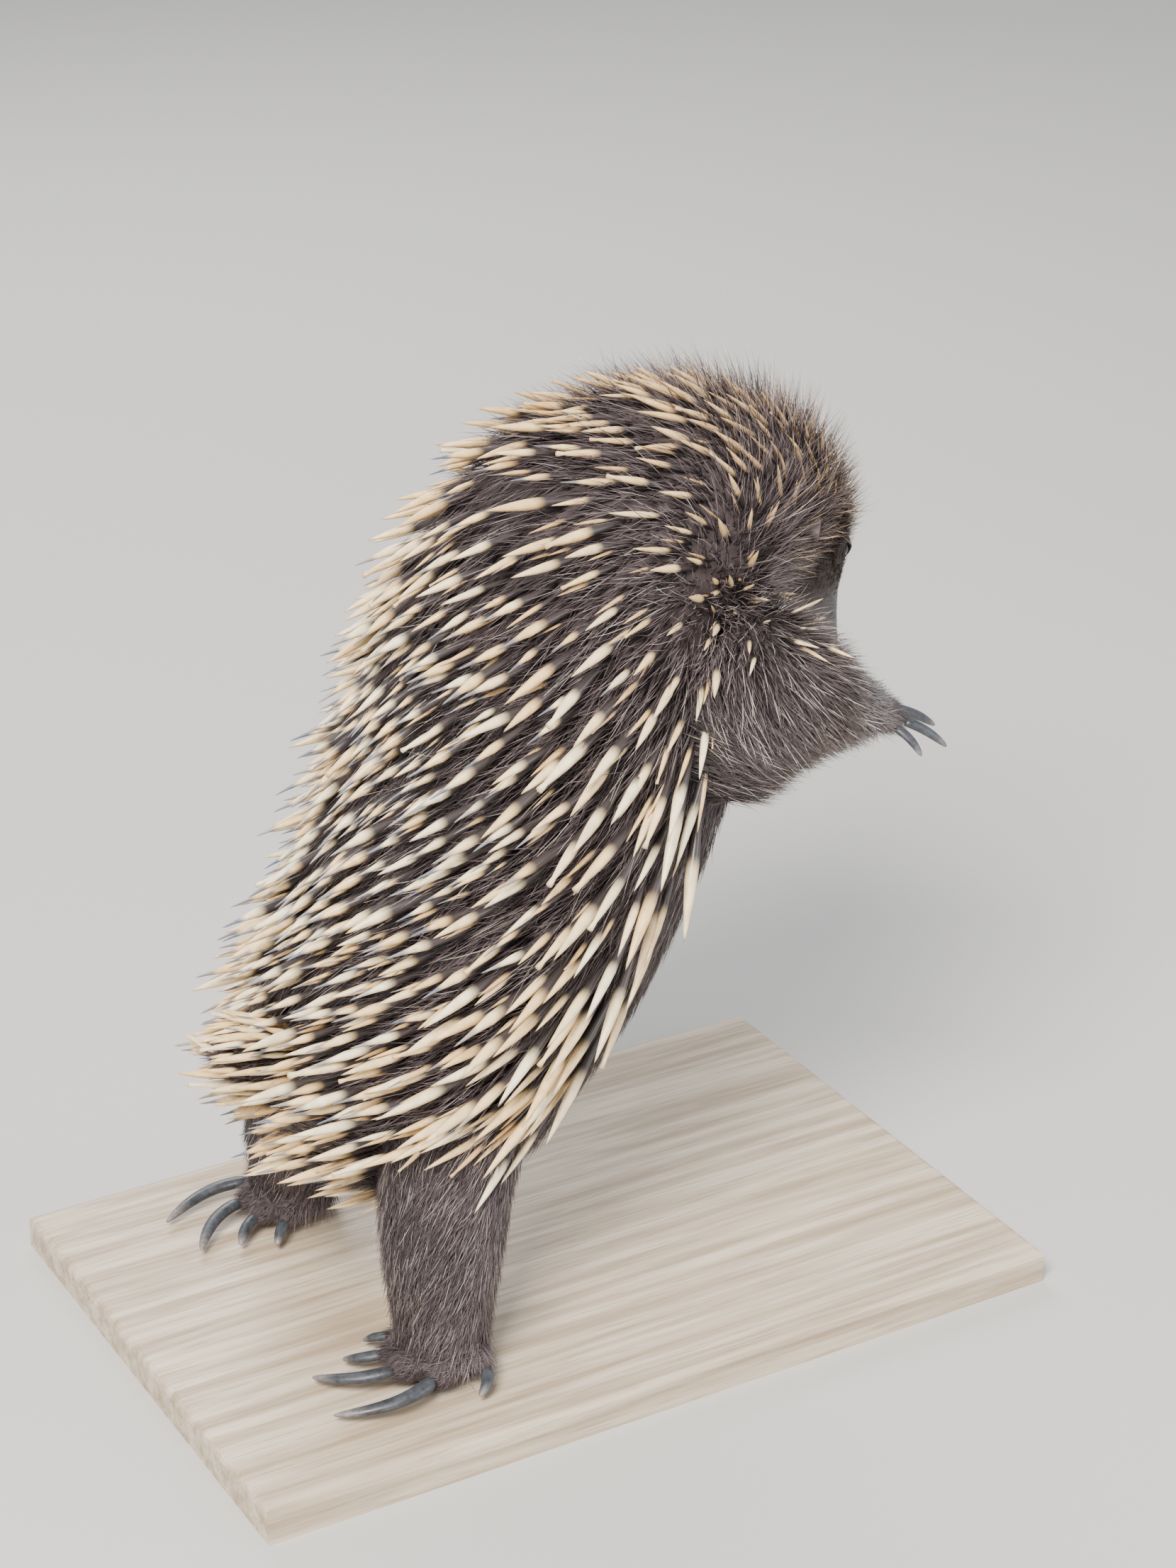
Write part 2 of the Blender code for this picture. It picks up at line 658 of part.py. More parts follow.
def make_head(trunk, collection, materials):
    """The head with lids round its eyes, and an ear's bowl at each side."""
    head = new_object("head", body_mesh(trunk, "head"), collection, materials["fur"])
    lids = new_collection("lids")
    sockets = new_collection("sockets")
    for side_name, side in (("left", 1), ("right", -1)):
        s = trunk.at["eyes"] - EYE_BEFORE_STATION
        here, out, _, _ = trunk.surface(s, EYE_TURN * side)
        axis = trunk.axes(s)[1]
        place = facing(here - out * EYE_DEPTH, out, axis)
        ball = (EYE_RADIUS,) * 3
        add_ball(f"eye_{side_name}", place, ball, collection, materials["eye"])
        lid = (EYE_RADIUS + 2 * LID_THICKNESS, EYE_RADIUS + LID_THICKNESS, EYE_RADIUS * 0.92)
        add_ball("lid", place, lid, lids, segments=(16, 8))
        add_ball("socket", place, (EYE_RADIUS + GAP,) * 3, sockets)
        make_ear(f"ear_{side_name}", side, trunk, collection, materials["ear"])
    boolean(head, "UNION", lids)
    boolean(head, "DIFFERENCE", sockets)
    return head


def make_ear(name, side, trunk, collection, material):
    """An oval bowl that opens outwards and forwards, cut clear of the head behind it."""
    s = trunk.at["brow"] - EAR_BEHIND_BROW
    here, out, to_rump, _ = trunk.surface(s, EAR_TURN * side)
    place = facing(here, out - to_rump * EAR_TILT, to_rump)
    ear = add_ball(name, place, EAR_BOWL, collection, material, segments=(14, 8))
    cutters = new_collection(name + " cutters")
    seat = trunk.mesh(trunk.at["neck base"], trunk.at["eyes"], *EAR_SEAT, gap=2 * GAP)
    new_object("seat", seat, cutters)
    hollow = place @ Matrix.Translation((0, 0, EAR_BOWL[2] * 0.75))
    add_ball("hollow", hollow, [v - EAR_WALL for v in EAR_BOWL], cutters, segments=(12, 8))
    boolean(ear, "DIFFERENCE", cutters)


def make_beak(trunk, collection, material):
    """The beak with the line of its mouth and two nostrils."""
    beak = new_object("beak", body_mesh(trunk, "beak"), collection, material)
    cutters = new_collection("beak cutters")
    tip, axis, back, _ = trunk.axes(trunk.length)
    mouth = facing(tip - back * MOUTH_BELOW_AXIS, axis, back)
    add_box("mouth", mouth, (MOUTH_HEIGHT, MOUTH_WIDTH, 2 * MOUTH_LENGTH), cutters)
    centre, axis, back, left = trunk.axes(trunk.length - NOSTRIL_BEHIND_TIP)
    top = centre + back * trunk.sizes(trunk.length - NOSTRIL_BEHIND_TIP)[1]
    for side in (1, -1):
        place = facing(top + left * side * NOSTRIL_APART, back + left * side * NOSTRIL_SPREAD, axis)
        add_cone("nostril", place, 8, NOSTRIL_RADIUS, NOSTRIL_RADIUS, NOSTRIL_DEPTH, cutters)
    boolean(beak, "DIFFERENCE", cutters)


def main():
    for obj in list(bpy.data.objects):
        bpy.data.objects.remove(obj)
    echidna = new_collection("echidna")
    materials = {
        "spines": new_material("spiny_coat", (0.58, 0.49, 0.36), 0.5),
        "fur": new_material("fur", (0.11, 0.08, 0.07), 0.85),
        "beak": new_material("beak_skin", (0.05, 0.045, 0.05), 0.45),
        "claw": new_material("claw_horn", (0.05, 0.055, 0.06), 0.4),
        "eye": new_material("eye", (0.01, 0.01, 0.012), 0.08),
        "ear": new_material("ear_skin", (0.16, 0.11, 0.10), 0.7),
        "board": new_material("stand_board", (0.62, 0.58, 0.52), 0.5),
    }
    trunk = Trunk(BODY_STATIONS, (-1, 0, 0), RUMP_ROUNDING, BEAK_ROUNDING)
    make_base(echidna, materials["board"])
    torso = new_object("torso", body_mesh(trunk, "torso"), echidna, materials["spines"])
    neck = new_object("neck", body_mesh(trunk, "neck"), echidna, materials["spines"])
    tail, tail_trunk = make_tail(trunk, echidna, materials["spines"])
    head = make_head(trunk, echidna, materials)
    make_beak(trunk, echidna, materials["beak"])
    for side_name, side in (("left", 1), ("right", -1)):
        make_hind_leg(side_name, side, trunk, echidna, materials)
    make_foreleg("left", 1, LEFT_FORELEG_STATIONS, trunk, echidna, materials)
    make_foreleg("right", -1, RIGHT_FORELEG_STATIONS, trunk, echidna, materials)

    coat = Coat(trunk, COAT)
    at = trunk.at
    grow_spines(torso, echidna, coat, TORSO_COAT_START, at["neck base"] - COAT_END, low_flow=True)
    grow_spines(neck, echidna, coat, at["neck base"] + COAT_START, at["occiput"] - COAT_END)
    grow_spines(head, echidna, coat, at["occiput"] + COAT_START, at["brow"])
    tail_coat = Coat(tail_trunk, TAIL_COAT)
    grow_spines(tail, echidna, tail_coat, TAIL_COAT_START, tail_trunk.length - TAIL_COAT_END)


main()
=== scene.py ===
"""The looks of a short-beaked echidna that stands reared up on its hind legs: one skin, a coat of
spines and fur, eyes with their lids, ears, claws and the display base. Metres, +Z up. The animal
faces +X and its left is +Y."""

import math
from contextlib import contextmanager

import bpy
import numpy as np
from mathutils import Matrix, Vector
from mathutils.bvhtree import BVHTree


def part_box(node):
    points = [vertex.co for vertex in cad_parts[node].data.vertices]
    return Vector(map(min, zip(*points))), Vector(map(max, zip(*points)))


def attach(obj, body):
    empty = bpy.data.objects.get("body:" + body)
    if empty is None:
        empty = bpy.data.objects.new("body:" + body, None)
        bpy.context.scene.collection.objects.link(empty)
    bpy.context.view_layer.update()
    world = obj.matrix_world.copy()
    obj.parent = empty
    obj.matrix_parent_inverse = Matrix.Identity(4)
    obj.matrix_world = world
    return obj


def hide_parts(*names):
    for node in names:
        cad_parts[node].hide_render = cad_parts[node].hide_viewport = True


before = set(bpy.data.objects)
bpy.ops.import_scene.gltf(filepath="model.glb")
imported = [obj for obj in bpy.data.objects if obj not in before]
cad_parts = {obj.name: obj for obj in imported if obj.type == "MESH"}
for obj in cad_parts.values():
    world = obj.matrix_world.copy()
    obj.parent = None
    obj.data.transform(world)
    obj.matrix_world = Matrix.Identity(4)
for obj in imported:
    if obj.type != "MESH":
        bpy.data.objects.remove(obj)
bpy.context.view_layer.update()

MM = 0.001
SEED = 20
SIDES = {"left": 1, "right": -1}

# The camera looks down on the animal's right flank from behind.
AIM = Vector((0.0228, 0, 0.1823))
CAMERA_DISTANCE = 1.15
CAMERA_AZIMUTH = math.radians(-30)
CAMERA_ELEVATION = math.radians(25)
PHOTO_HEIGHT_PX = 2212
FOCAL_PX = 4830
SENSOR = 36
CAMERA_NEAR = 0.05

# Stations of the solids, in millimetres from the ground between the hind feet: place x, y, z, half
# width, and depth to the back and to the belly. The last value is how deep the skin lies below.
FEET_X = -72 * MM
BODY_STATIONS = {
    "rump": (6, 0, 46, 50, 45, 44, 3),
    "loin": (27, 0, 90, 60, 50, 54, 3),
    "waist": (53, 0, 133, 65, 54, 61, 3),
    "back": (75, 0, 176, 66, 57, 62, 3),
    "chest": (91, 0, 215, 64, 60, 60, 3),
    "shoulders": (105, 0, 243, 59, 59, 50, 3),
    "neck base": (121, 0, 256, 52, 51, 38, 3),
    "nape": (137, 1, 261, 43.5, 42, 32, 2.8),
    "occiput": (151, 2, 261, 36, 34, 28, 2.4),
    "crown": (164, 4, 256, 30, 28, 25, 2),
    "brow": (176, 7, 247, 23.5, 21.5, 22, 1.6),
    "eyes": (185, 10, 234, 17, 15.5, 17, 1),
    "beak root": (191, 13, 216, 10.5, 9.5, 10, 0.4),
    "mid beak": (198, 17, 195, 7, 6.5, 6.5, 0.1),
    "beak tip": (205, 21, 174, 5.2, 4.6, 4.6, 0),
}
RUMP_ROUNDING = 46 * MM
BEAK_ROUNDING = 5 * MM
TAIL_STATIONS = {
    "tip": (-42, 0, 108, 9, 8, 8, 2),
    "middle": (-31, 0, 102, 12, 11, 11, 2),
    "root": (-6, 0, 89, 16, 15, 15, 2),
}
TAIL_ROUNDING = 9 * MM
HIND_LEG_STATIONS = {
    "hip": (26, 36, 96, 20, 27, 27, 2),
    "thigh": (14, 47, 64, 21.5, 23.5, 23.5, 2),
    "knee": (9, 53, 42, 19.5, 20.5, 20.5, 2),
    "ankle": (7, 56, 22, 15.5, 16.5, 16.5, 1.6),
    "sole": (7, 57, 6, 13, 13, 13, 0.8),
}
HIND_FOOT_STATIONS = {
    "heel": (20, 56, 8, 10, 6, 9, 0.6),
    "instep": (8, 57, 9, 15, 10, 10, 0.6),
    "ball": (-7, 57, 8, 14, 7, 9, 0.6),
}
FOOT_ROUNDING = 6 * MM
FORELEG_STATIONS = {
    "left": {
        "shoulder": (96, 36, 206, 27, 34, 34, 3),
        "elbow": (125, 48, 207, 26, 35, 34, 3),
        "wrist": (146, 54, 199, 19, 21, 20, 2.4),
        "palm": (161, 56, 193, 14, 11.5, 10, 1.2),
        "knuckles": (173, 57, 191, 10.5, 7, 6.5, 0.6),
    },
    "right": {
        "shoulder": (96, 36, 208, 27, 34, 34, 3),
        "elbow": (126, 46, 212, 26, 36, 34, 3),
        "wrist": (148, 50, 208, 19, 22, 20, 2.4),
        "palm": (164, 50, 203, 14, 11.5, 10, 1.2),
        "knuckles": (175, 49, 202, 10.5, 7, 6.5, 0.6),
    },
}
PAW_ROUNDING = 9 * MM
LOFT_STEP = 3 * MM
LOFT_SIDES = 40

# Hind toes: where the toe starts, where its claw starts, and the claw's half thickness. Fore toes:
# the angle in the paw, the toe's length and the claw's half thickness.
HIND_TOES = (
    ((12, 64, 8), (13, 74, 7), 2.8),
    ((4, 65, 8), (-4, 71, 7.5), 3.6),
    ((-2, 60, 8), (-13, 60, 7.5), 3.4),
    ((-2, 52, 8), (-12, 49, 7), 2.9),
    ((2, 48, 8), (-5, 41, 7), 2.6),
)
FORE_TOES = ((-56, 18, 2.4), (-28, 20, 2.9), (0, 21, 3.1), (28, 20, 2.9), (56, 18, 2.4))
FORE_TOE_START = 4 * MM  # how far from the palm's middle the fore toes start
FORE_TOE_DROP = 1.5 * MM  # how far the fore toes' ends lie below the palm's middle
TOE_OVER_CLAW = 1.45  # a toe's half thickness against its claw's
TOE_HEEL = 0.4  # how far a toe starts behind its root, against its half thickness
TOE_OVERLAP = 1.5 * MM  # how far the toe's skin comes over the claw's root
CLAW_SWELL = 0.3  # how much thicker the worn claws are towards their tips
CLAW_SWELL_SPAN = (0.35, 0.85)  # where on the claw that begins, and where it is reached

SKIN_VOXEL = 1.45 * MM
SKIN_SMOOTHING = 5

EYE_TURN = math.radians(78)
EYE_BEFORE_STATION = 4 * MM
EYE_DEPTH = 3.1 * MM
EYE_RADIUS = 4.1 * MM
LID_OPENING = (3.1 * MM, 2.3 * MM)
LID_REACH = (5.9 * MM, 4.9 * MM)
LID_CLEARANCE = 0.3 * MM
LID_THICKNESS = 0.8 * MM
# The lids' folds: part of the way from the opening outwards, and height.
LID_FOLDS = ((0, 0.15), (0.14, 0.3), (0.3, -0.35), (0.48, 0.3), (0.64, -0.3), (0.8, 0.1), (1, -0.9))
LID_WRINKLES = (13, 0.12 * MM)  # how many run outwards, and their height
LID_RINGS, LID_SIDES = 13, 52
LID_CORNER = 0.2  # how far the opening's corners are drawn out
LID_ON_BALL = 0.8  # the lids leave the ball at this part of its radius, and fall from there
LID_FALL = 0.55
LID_DARKNESS = 0.85
EYE_BARE = 0.75  # the bare ring round the eye, against the lids' height

EAR_TURN = math.radians(90)
EAR_BEHIND_BROW = 28 * MM
EAR_SIZE = (8.0 * MM, 4.0 * MM, 6.5 * MM)
EAR_TILT = 0.35
EAR_WALL = 1.0 * MM
EAR_SIDES = 36
# The ear's rings from its depth to its rim: size and height, against EAR_SIZE.
EAR_RINGS = ((0.25, -0.62), (0.5, -0.5), (0.72, -0.15), (0.86, 0.35), (0.94, 0.8))
EAR_REAR_HIGHER = 0.22  # how much higher the rim is at its rear edge
EAR_BARE = 1.3  # the bare ring round the ear, against its width
# Painted shade deep in the ear: where it starts below the rim, and where it is quite dark.
EAR_HOLLOW_SHADE_SPAN = (0.8 * MM, 4.5 * MM)  # how far below the rim it starts to darken, and is quite dark

MOUTH_SIZE = (0.4 * MM, 8 * MM, 9 * MM)  # half height, half width, and depth into the beak
MOUTH_BELOW_AXIS = 1.6 * MM
NOSTRIL_SIZE = (0.75 * MM, 1.2 * MM, 1.0 * MM)
NOSTRIL_BEHIND_TIP = 6 * MM
NOSTRIL_APART = 2.2 * MM  # how far each is from the beak's middle line

# The spiny coat, at stations along the body: the half angle that it covers, how far its spines are
# drawn towards the middle of the back, the angle that they stand off the body in the middle of the
# back and at the coat's edge, their length beyond the body at both, their thickness, how far they
# are apart, the part that is dark from the root, and how many end in a needle.
COAT = {
    "rump": (100, 10, 42, 24, 25, 29, 3.2, 8.2, 0.44, 0.6),
    "loin": (113, 34, 42, 20, 26, 35, 3.7, 9.2, 0.50, 0.7),
    "waist": (116, 42, 42, 19, 24, 38, 3.9, 10.2, 0.58, 0.9),
    "back": (113, 42, 44, 19, 24, 38, 3.9, 10.8, 0.64, 0.9),
    "chest": (106, 40, 44, 20, 25, 32, 3.8, 10.2, 0.59, 0.6),
    "shoulders": (98, 32, 38, 22, 26, 26, 3.5, 9.2, 0.50, 0.25),
    "neck base": (90, 22, 26, 22, 25, 20, 3.2, 8.4, 0.46, 0.1),
    "nape": (82, 14, 22, 24, 20, 15, 2.4, 7.4, 0.45, 0),
    "occiput": (76, 10, 26, 24, 15, 11, 1.5, 6.0, 0.4, 0),
    "crown": (72, 8, 30, 24, 12, 9, 1.0, 5.6, 0.4, 0),
    "brow": (60, 0, 28, 24, 9, 6, 0.8, 5.4, 0.4, 0),
}
TAIL_COAT = {
    "tip": (180, 0, 30, 34, 18, 18, 2.6, 5.4, 0.42, 0.3),
    "root": (165, 0, 40, 40, 24, 20, 3.0, 6.6, 0.46, 0.5),
}
# The slimmer spines that come up between the stout ones, against those.
SLIM_THICKNESS = 0.52
SLIM_LENGTH = 0.66
SLIM_SHARE = (1, 0.62)  # the part of them that grows at the rump and on the flank
# The draw to the middle of the back follows half a wave over the coat's half width.
DRAWN_AT_EDGE = 0.07  # the part of that wave beyond the coat's edge
DRAW_POWER = 0.7  # how flat its crest is
PARTING = 0.9  # the angle beside the belly's middle line over which the draw sets in
LOOSER_EDGE = 0.18  # how much closer than evenly the spines stand in the middle of the back
ROWS_APART = 0.87  # the gap between two rows of spines, against the gap in a row
# How far a spine may stray: along the body and round it against the gap, and in its stand angle.
SPINE_STRAY_ALONG = 0.3
SPINE_STRAY_ROUND = 0.4
SPINE_STRAY_STAND = 0.1
SPINES_START = 7 * MM  # how far from the rump's end the first row is
TAIL_SPINES = (1.2 * MM, 16 * MM)  # how far from the tail's tip they start, and from its root end
SPINE_SIZES = (0.66, 1.1)  # the smallest and largest spine against the coat's table
# The rump's coat points backwards: the direction, how strongly, how far from the body's start it
# does so fully, and where that ends.
RUMP_FLOW = np.array([-1, 0, 0.12]) / math.hypot(1, 0.12)
RUMP_FLOW_SHARE = 0.85
RUMP_FLOW_FULL = 35 * MM
RUMP_FLOW_END = 100 * MM
RUMP_FLOW_EDGE = 0.55  # how much weaker it is at the coat's edge
LEAST_STAND = 0.2  # the sine of the least stand angle there
SPINE_LIFTS = (0.0, 0.14, 0.28, 0.42, 0.6, 0.8)  # turns that are tried until a spine is free
SPINE_CLEARANCE = 0.5 * MM
SPINE_SINK = 4.5 * MM  # how deep a spine's root lies below its form
SPINE_TESTS = np.linspace(0.3, 1, 6)[:, None]  # where on a spine its clearance is tested
STEEPEST_SINK = 0.35  # the least sine of its angle to the skin that a root's depth allows for
SPINE_BLUNT_SHARE = 0.12
BLUNT_WIDTH = 0.6  # a broken tip's half thickness and rounding, against the spine's
BLUNT_ROUNDING = 0.25
SPINE_RADII = (0.92, 1.08)
SPINE_DROOP = 0.04
SPINE_WAVE = 0.03

# How thick a spine is along its length: place, and half thickness of a plain spine and of one
# that ends in a slate needle. Then the same of a hair and of a fine tuft.
SPINE_PROFILE = (
    (0, 0.5, 0.5), (0.2, 0.72, 0.66), (0.5, 1, 0.86), (0.63, 0.95, 0.9), (0.76, 0.72, 0.46),
    (0.88, 0.42, 0.22), (0.96, 0.18, 0.13),
)
HAIR_PROFILE = ((0, 0.8), (0.35, 1), (0.72, 0.62))
FUR_PROFILE = ((0, 0.9), (0.5, 0.8))
SHORT_PROFILE = ((0, 1.1),)
STRAND_SINK = 0.8 * MM
DARK_ROOT_AT_EDGE = 0.46  # the longest dark root at the coat's edge, as a part of the spine
DARK_ROOT_STRAY = 0.05
# The slim spines' tones run low, towards tan: painted shade for their lying half buried in the fur.
SLIM_SHADED_TONES = (0.05, 0.5)
STOUT_SHADES = (0.35, 1)
HEAD_SHADE = 0.25  # how much of their shade the head's spines keep
# Needles grow in the middle of the back, up to these parts of the way to the coat's edge.
NEEDLES_ALL = 0.35
NEEDLES_NONE = 0.8
NEEDLE_SIZES = (0.7, 1)  # how fully they are needles

# Hair and spines grow away from a whorl in front of each shoulder, and stand up in its middle.
WHORL = (130, 46, 243)
WHORL_REACH = (64 * MM, 12 * MM)  # where it starts to tell, and where the coat follows it fully
WHORL_STAND = 30
WHORL_SHORTER = 0.5
WHORL_THINNER = 0.4
# The short spines round a whorl: how many, from and to how far from it, and length and half
# thickness of the smallest and of the largest.
WHORL_SPINES = 34
WHORL_RING = (3 * MM, 24 * MM)
WHORL_OFF_SKIN = 30 * MM  # how far their places may be from the skin before they are put on it
WHORL_SPINE_LENGTH = (10 * MM, 18 * MM)
WHORL_SPINE_RADIUS = (0.35 * MM, 0.8 * MM)
WHORL_SPINE_STAND = (1.1, 0.45)  # in a whorl's middle and at its edge
WHORL_STRAY_ROUND = 0.3
WHORL_STRAY_STAND = 0.25
WHORL_SHADES = (0.3, 0.9)
WHORL_DARK_ROOTS = (0.3, 0.5)
GOLDEN_TURN = math.pi * (3 - math.sqrt(5))

# The fur's length in millimetres on the back and on the belly, and its stand angle there.
BODY_FUR = {
    "rump": (15, 10, 36, 24),
    "loin": (18, 12, 35, 17),
    "waist": (20, 14, 35, 15),
    "back": (20, 14, 35, 15),
    "chest": (20, 14, 35, 17),
    "shoulders": (19, 15, 35, 24),
    "neck base": (20, 15, 39, 30),
    "nape": (20, 14, 45, 32),
    "occiput": (21, 13, 49, 30),
    "crown": (20, 11, 51, 26),
    "brow": (15, 8.5, 46, 22),
    "eyes": (7, 5, 28, 17),
    "beak root": (2.6, 2.2, 16, 14),
}

BELLY_TURN = (1.4, 2.1)  # the turns between which the back's fur becomes the belly's
# How much the fur varies from tuft to tuft in stand, length and half thickness.
FUR_STANDS = (0.6, 1.4)
FUR_LENGTHS = (0.65, 1.2)
FUR_RADII = (0.75, 1.25)
FUR_WAVE = 0.12
FUR_FLATNESS = 0.6
FUR_OFF_SKIN = 2.2 * MM  # how far a place on a trunk may be from the skin to grow fur
FUR_OFF_BASE = 0.5 * MM
SHORTEST_FUR = 0.8 * MM
LIMB_CHANGE = (0.4, 1)  # the part of a limb on which its fur changes
TOE_FUR_SPAN = (-0.5, 0.98)  # where on a toe its fur grows
TOE_UNWRAP = 0.6  # a toe's part of its place on the unwrap, which leaves a gap to the next
SCATTER_STEPS = 200

UNWRAP_MARGIN = 0.01
PATCH = 0.003  # a tuft's size on its piece's unwrap
SPINE_PATCH = 0.012  # a spine's, which keeps its dark root, pale middle and tip apart

# Linear colours.
EARTH_BROWN = (0.088, 0.066, 0.068)
BELLY_BROWN = (0.125, 0.088, 0.068)
LEG_BROWN = (0.112, 0.086, 0.090)
ARM_BROWN = (0.125, 0.092, 0.080)
PAW_GREY = (0.185, 0.160, 0.162)
FACE_BROWN = (0.082, 0.058, 0.048)
BEAK_GREY = (0.036, 0.033, 0.037)
BEAK_MOTTLE = (0.056, 0.048, 0.049)
UNDER_FUR_TONE = (0.5, 0.45, 0.45)
LID_GREY = (0.024, 0.019, 0.018)
PALE_HAIR = (0.46, 0.40, 0.36)
TAN_HAIR = (0.46, 0.32, 0.19)
# The head spines' own tan, which also paints shade on the half buried slim spines.
SPINE_TAN_AND_SHADE = (0.62, 0.38, 0.17)
SPINE_CREAM = (0.90, 0.63, 0.31)
SPINE_IVORY = (0.97, 0.85, 0.59)
SPINE_ROOT = (0.045, 0.036, 0.036)
SPINE_TIP = (0.34, 0.22, 0.14)
# Dark needle tips, lightened and blued by a painted sky reflection.
SPINE_SLATE_SKY_SHEEN = (0.115, 0.135, 0.190)
CLAW_SLATE = (0.054, 0.060, 0.071)
CLAW_DARK = (0.024, 0.026, 0.031)
CLAW_TIP = (0.240, 0.205, 0.195)
EAR_DARK = (0.060, 0.044, 0.040)
EAR_PALE = (0.12, 0.09, 0.08)
# Painted shade at the bottom of the ear.
EAR_HOLLOW_SHADE = (0.012, 0.009, 0.008)
EYE_DARK = (0.004, 0.003, 0.003)
EYE_PALE = (0.016, 0.010, 0.007)
BOARD_GRAIN = (0.36, 0.27, 0.18)
BOARD_PALE = (0.60, 0.50, 0.38)
BOARD_PORE = (0.27, 0.19, 0.12)
FLOOR_GREY = (0.50, 0.49, 0.47, 1)
SKY_COLOUR = (0.93, 0.96, 1, 1)
SKY_STRENGTH = 0.78

FLOOR_SIZE = 8
# Lamps: place, size, power and colour.
LAMPS = {
    "key": ((-1.1, -1.0, 1.7), 0.8, 118, (1, 0.96, 0.9)),
    "fill": ((1.2, -1.4, 0.9), 1.2, 18, (0.93, 0.96, 1)),
    "rim": ((0.3, 1.5, 1.3), 0.8, 22, (1, 1, 1)),
}


# Mathematics of tubes and rows of numbers

def standing(x, y, z):
    """A point given in millimetres from the ground between the hind feet."""
    return Vector((FEET_X + x * MM, y * MM, BASE_TOP + z * MM))


def unit(vectors):
    return vectors / np.maximum(np.linalg.norm(vectors, axis=-1, keepdims=True), 1e-12)


def dot(a, b):
    return np.sum(a * b, axis=-1, keepdims=True)


def col(values):
    return np.asarray(values)[:, None]


def circle(count):
    """Evenly spaced angles of one turn."""
    return 2 * math.pi * np.arange(count) / count


def share_of(values, start, end):
    """The part of the way from start to end at which each value lies."""
    return np.clip((values - start) / (end - start), 0, 1)


def between(span, share):
    """The value at each share of the way through a span."""
    return np.interp(share, (0, 1), span)


def catmull_rom(rows, t):
    """The smooth values at each t between the rows of a table."""
    padded = np.vstack([2 * rows[0] - rows[1], rows, 2 * rows[-1] - rows[-2]])
    i = np.minimum(t.astype(int), len(rows) - 2)
    f = col(t - i)
    a, b, c, d = (padded[i + k] for k in range(4))
    return 0.5 * (
        2 * b + (c - a) * f + (2 * a - 5 * b + 4 * c - d) * f**2 + (3 * b - a - 3 * c + d) * f**3
    )


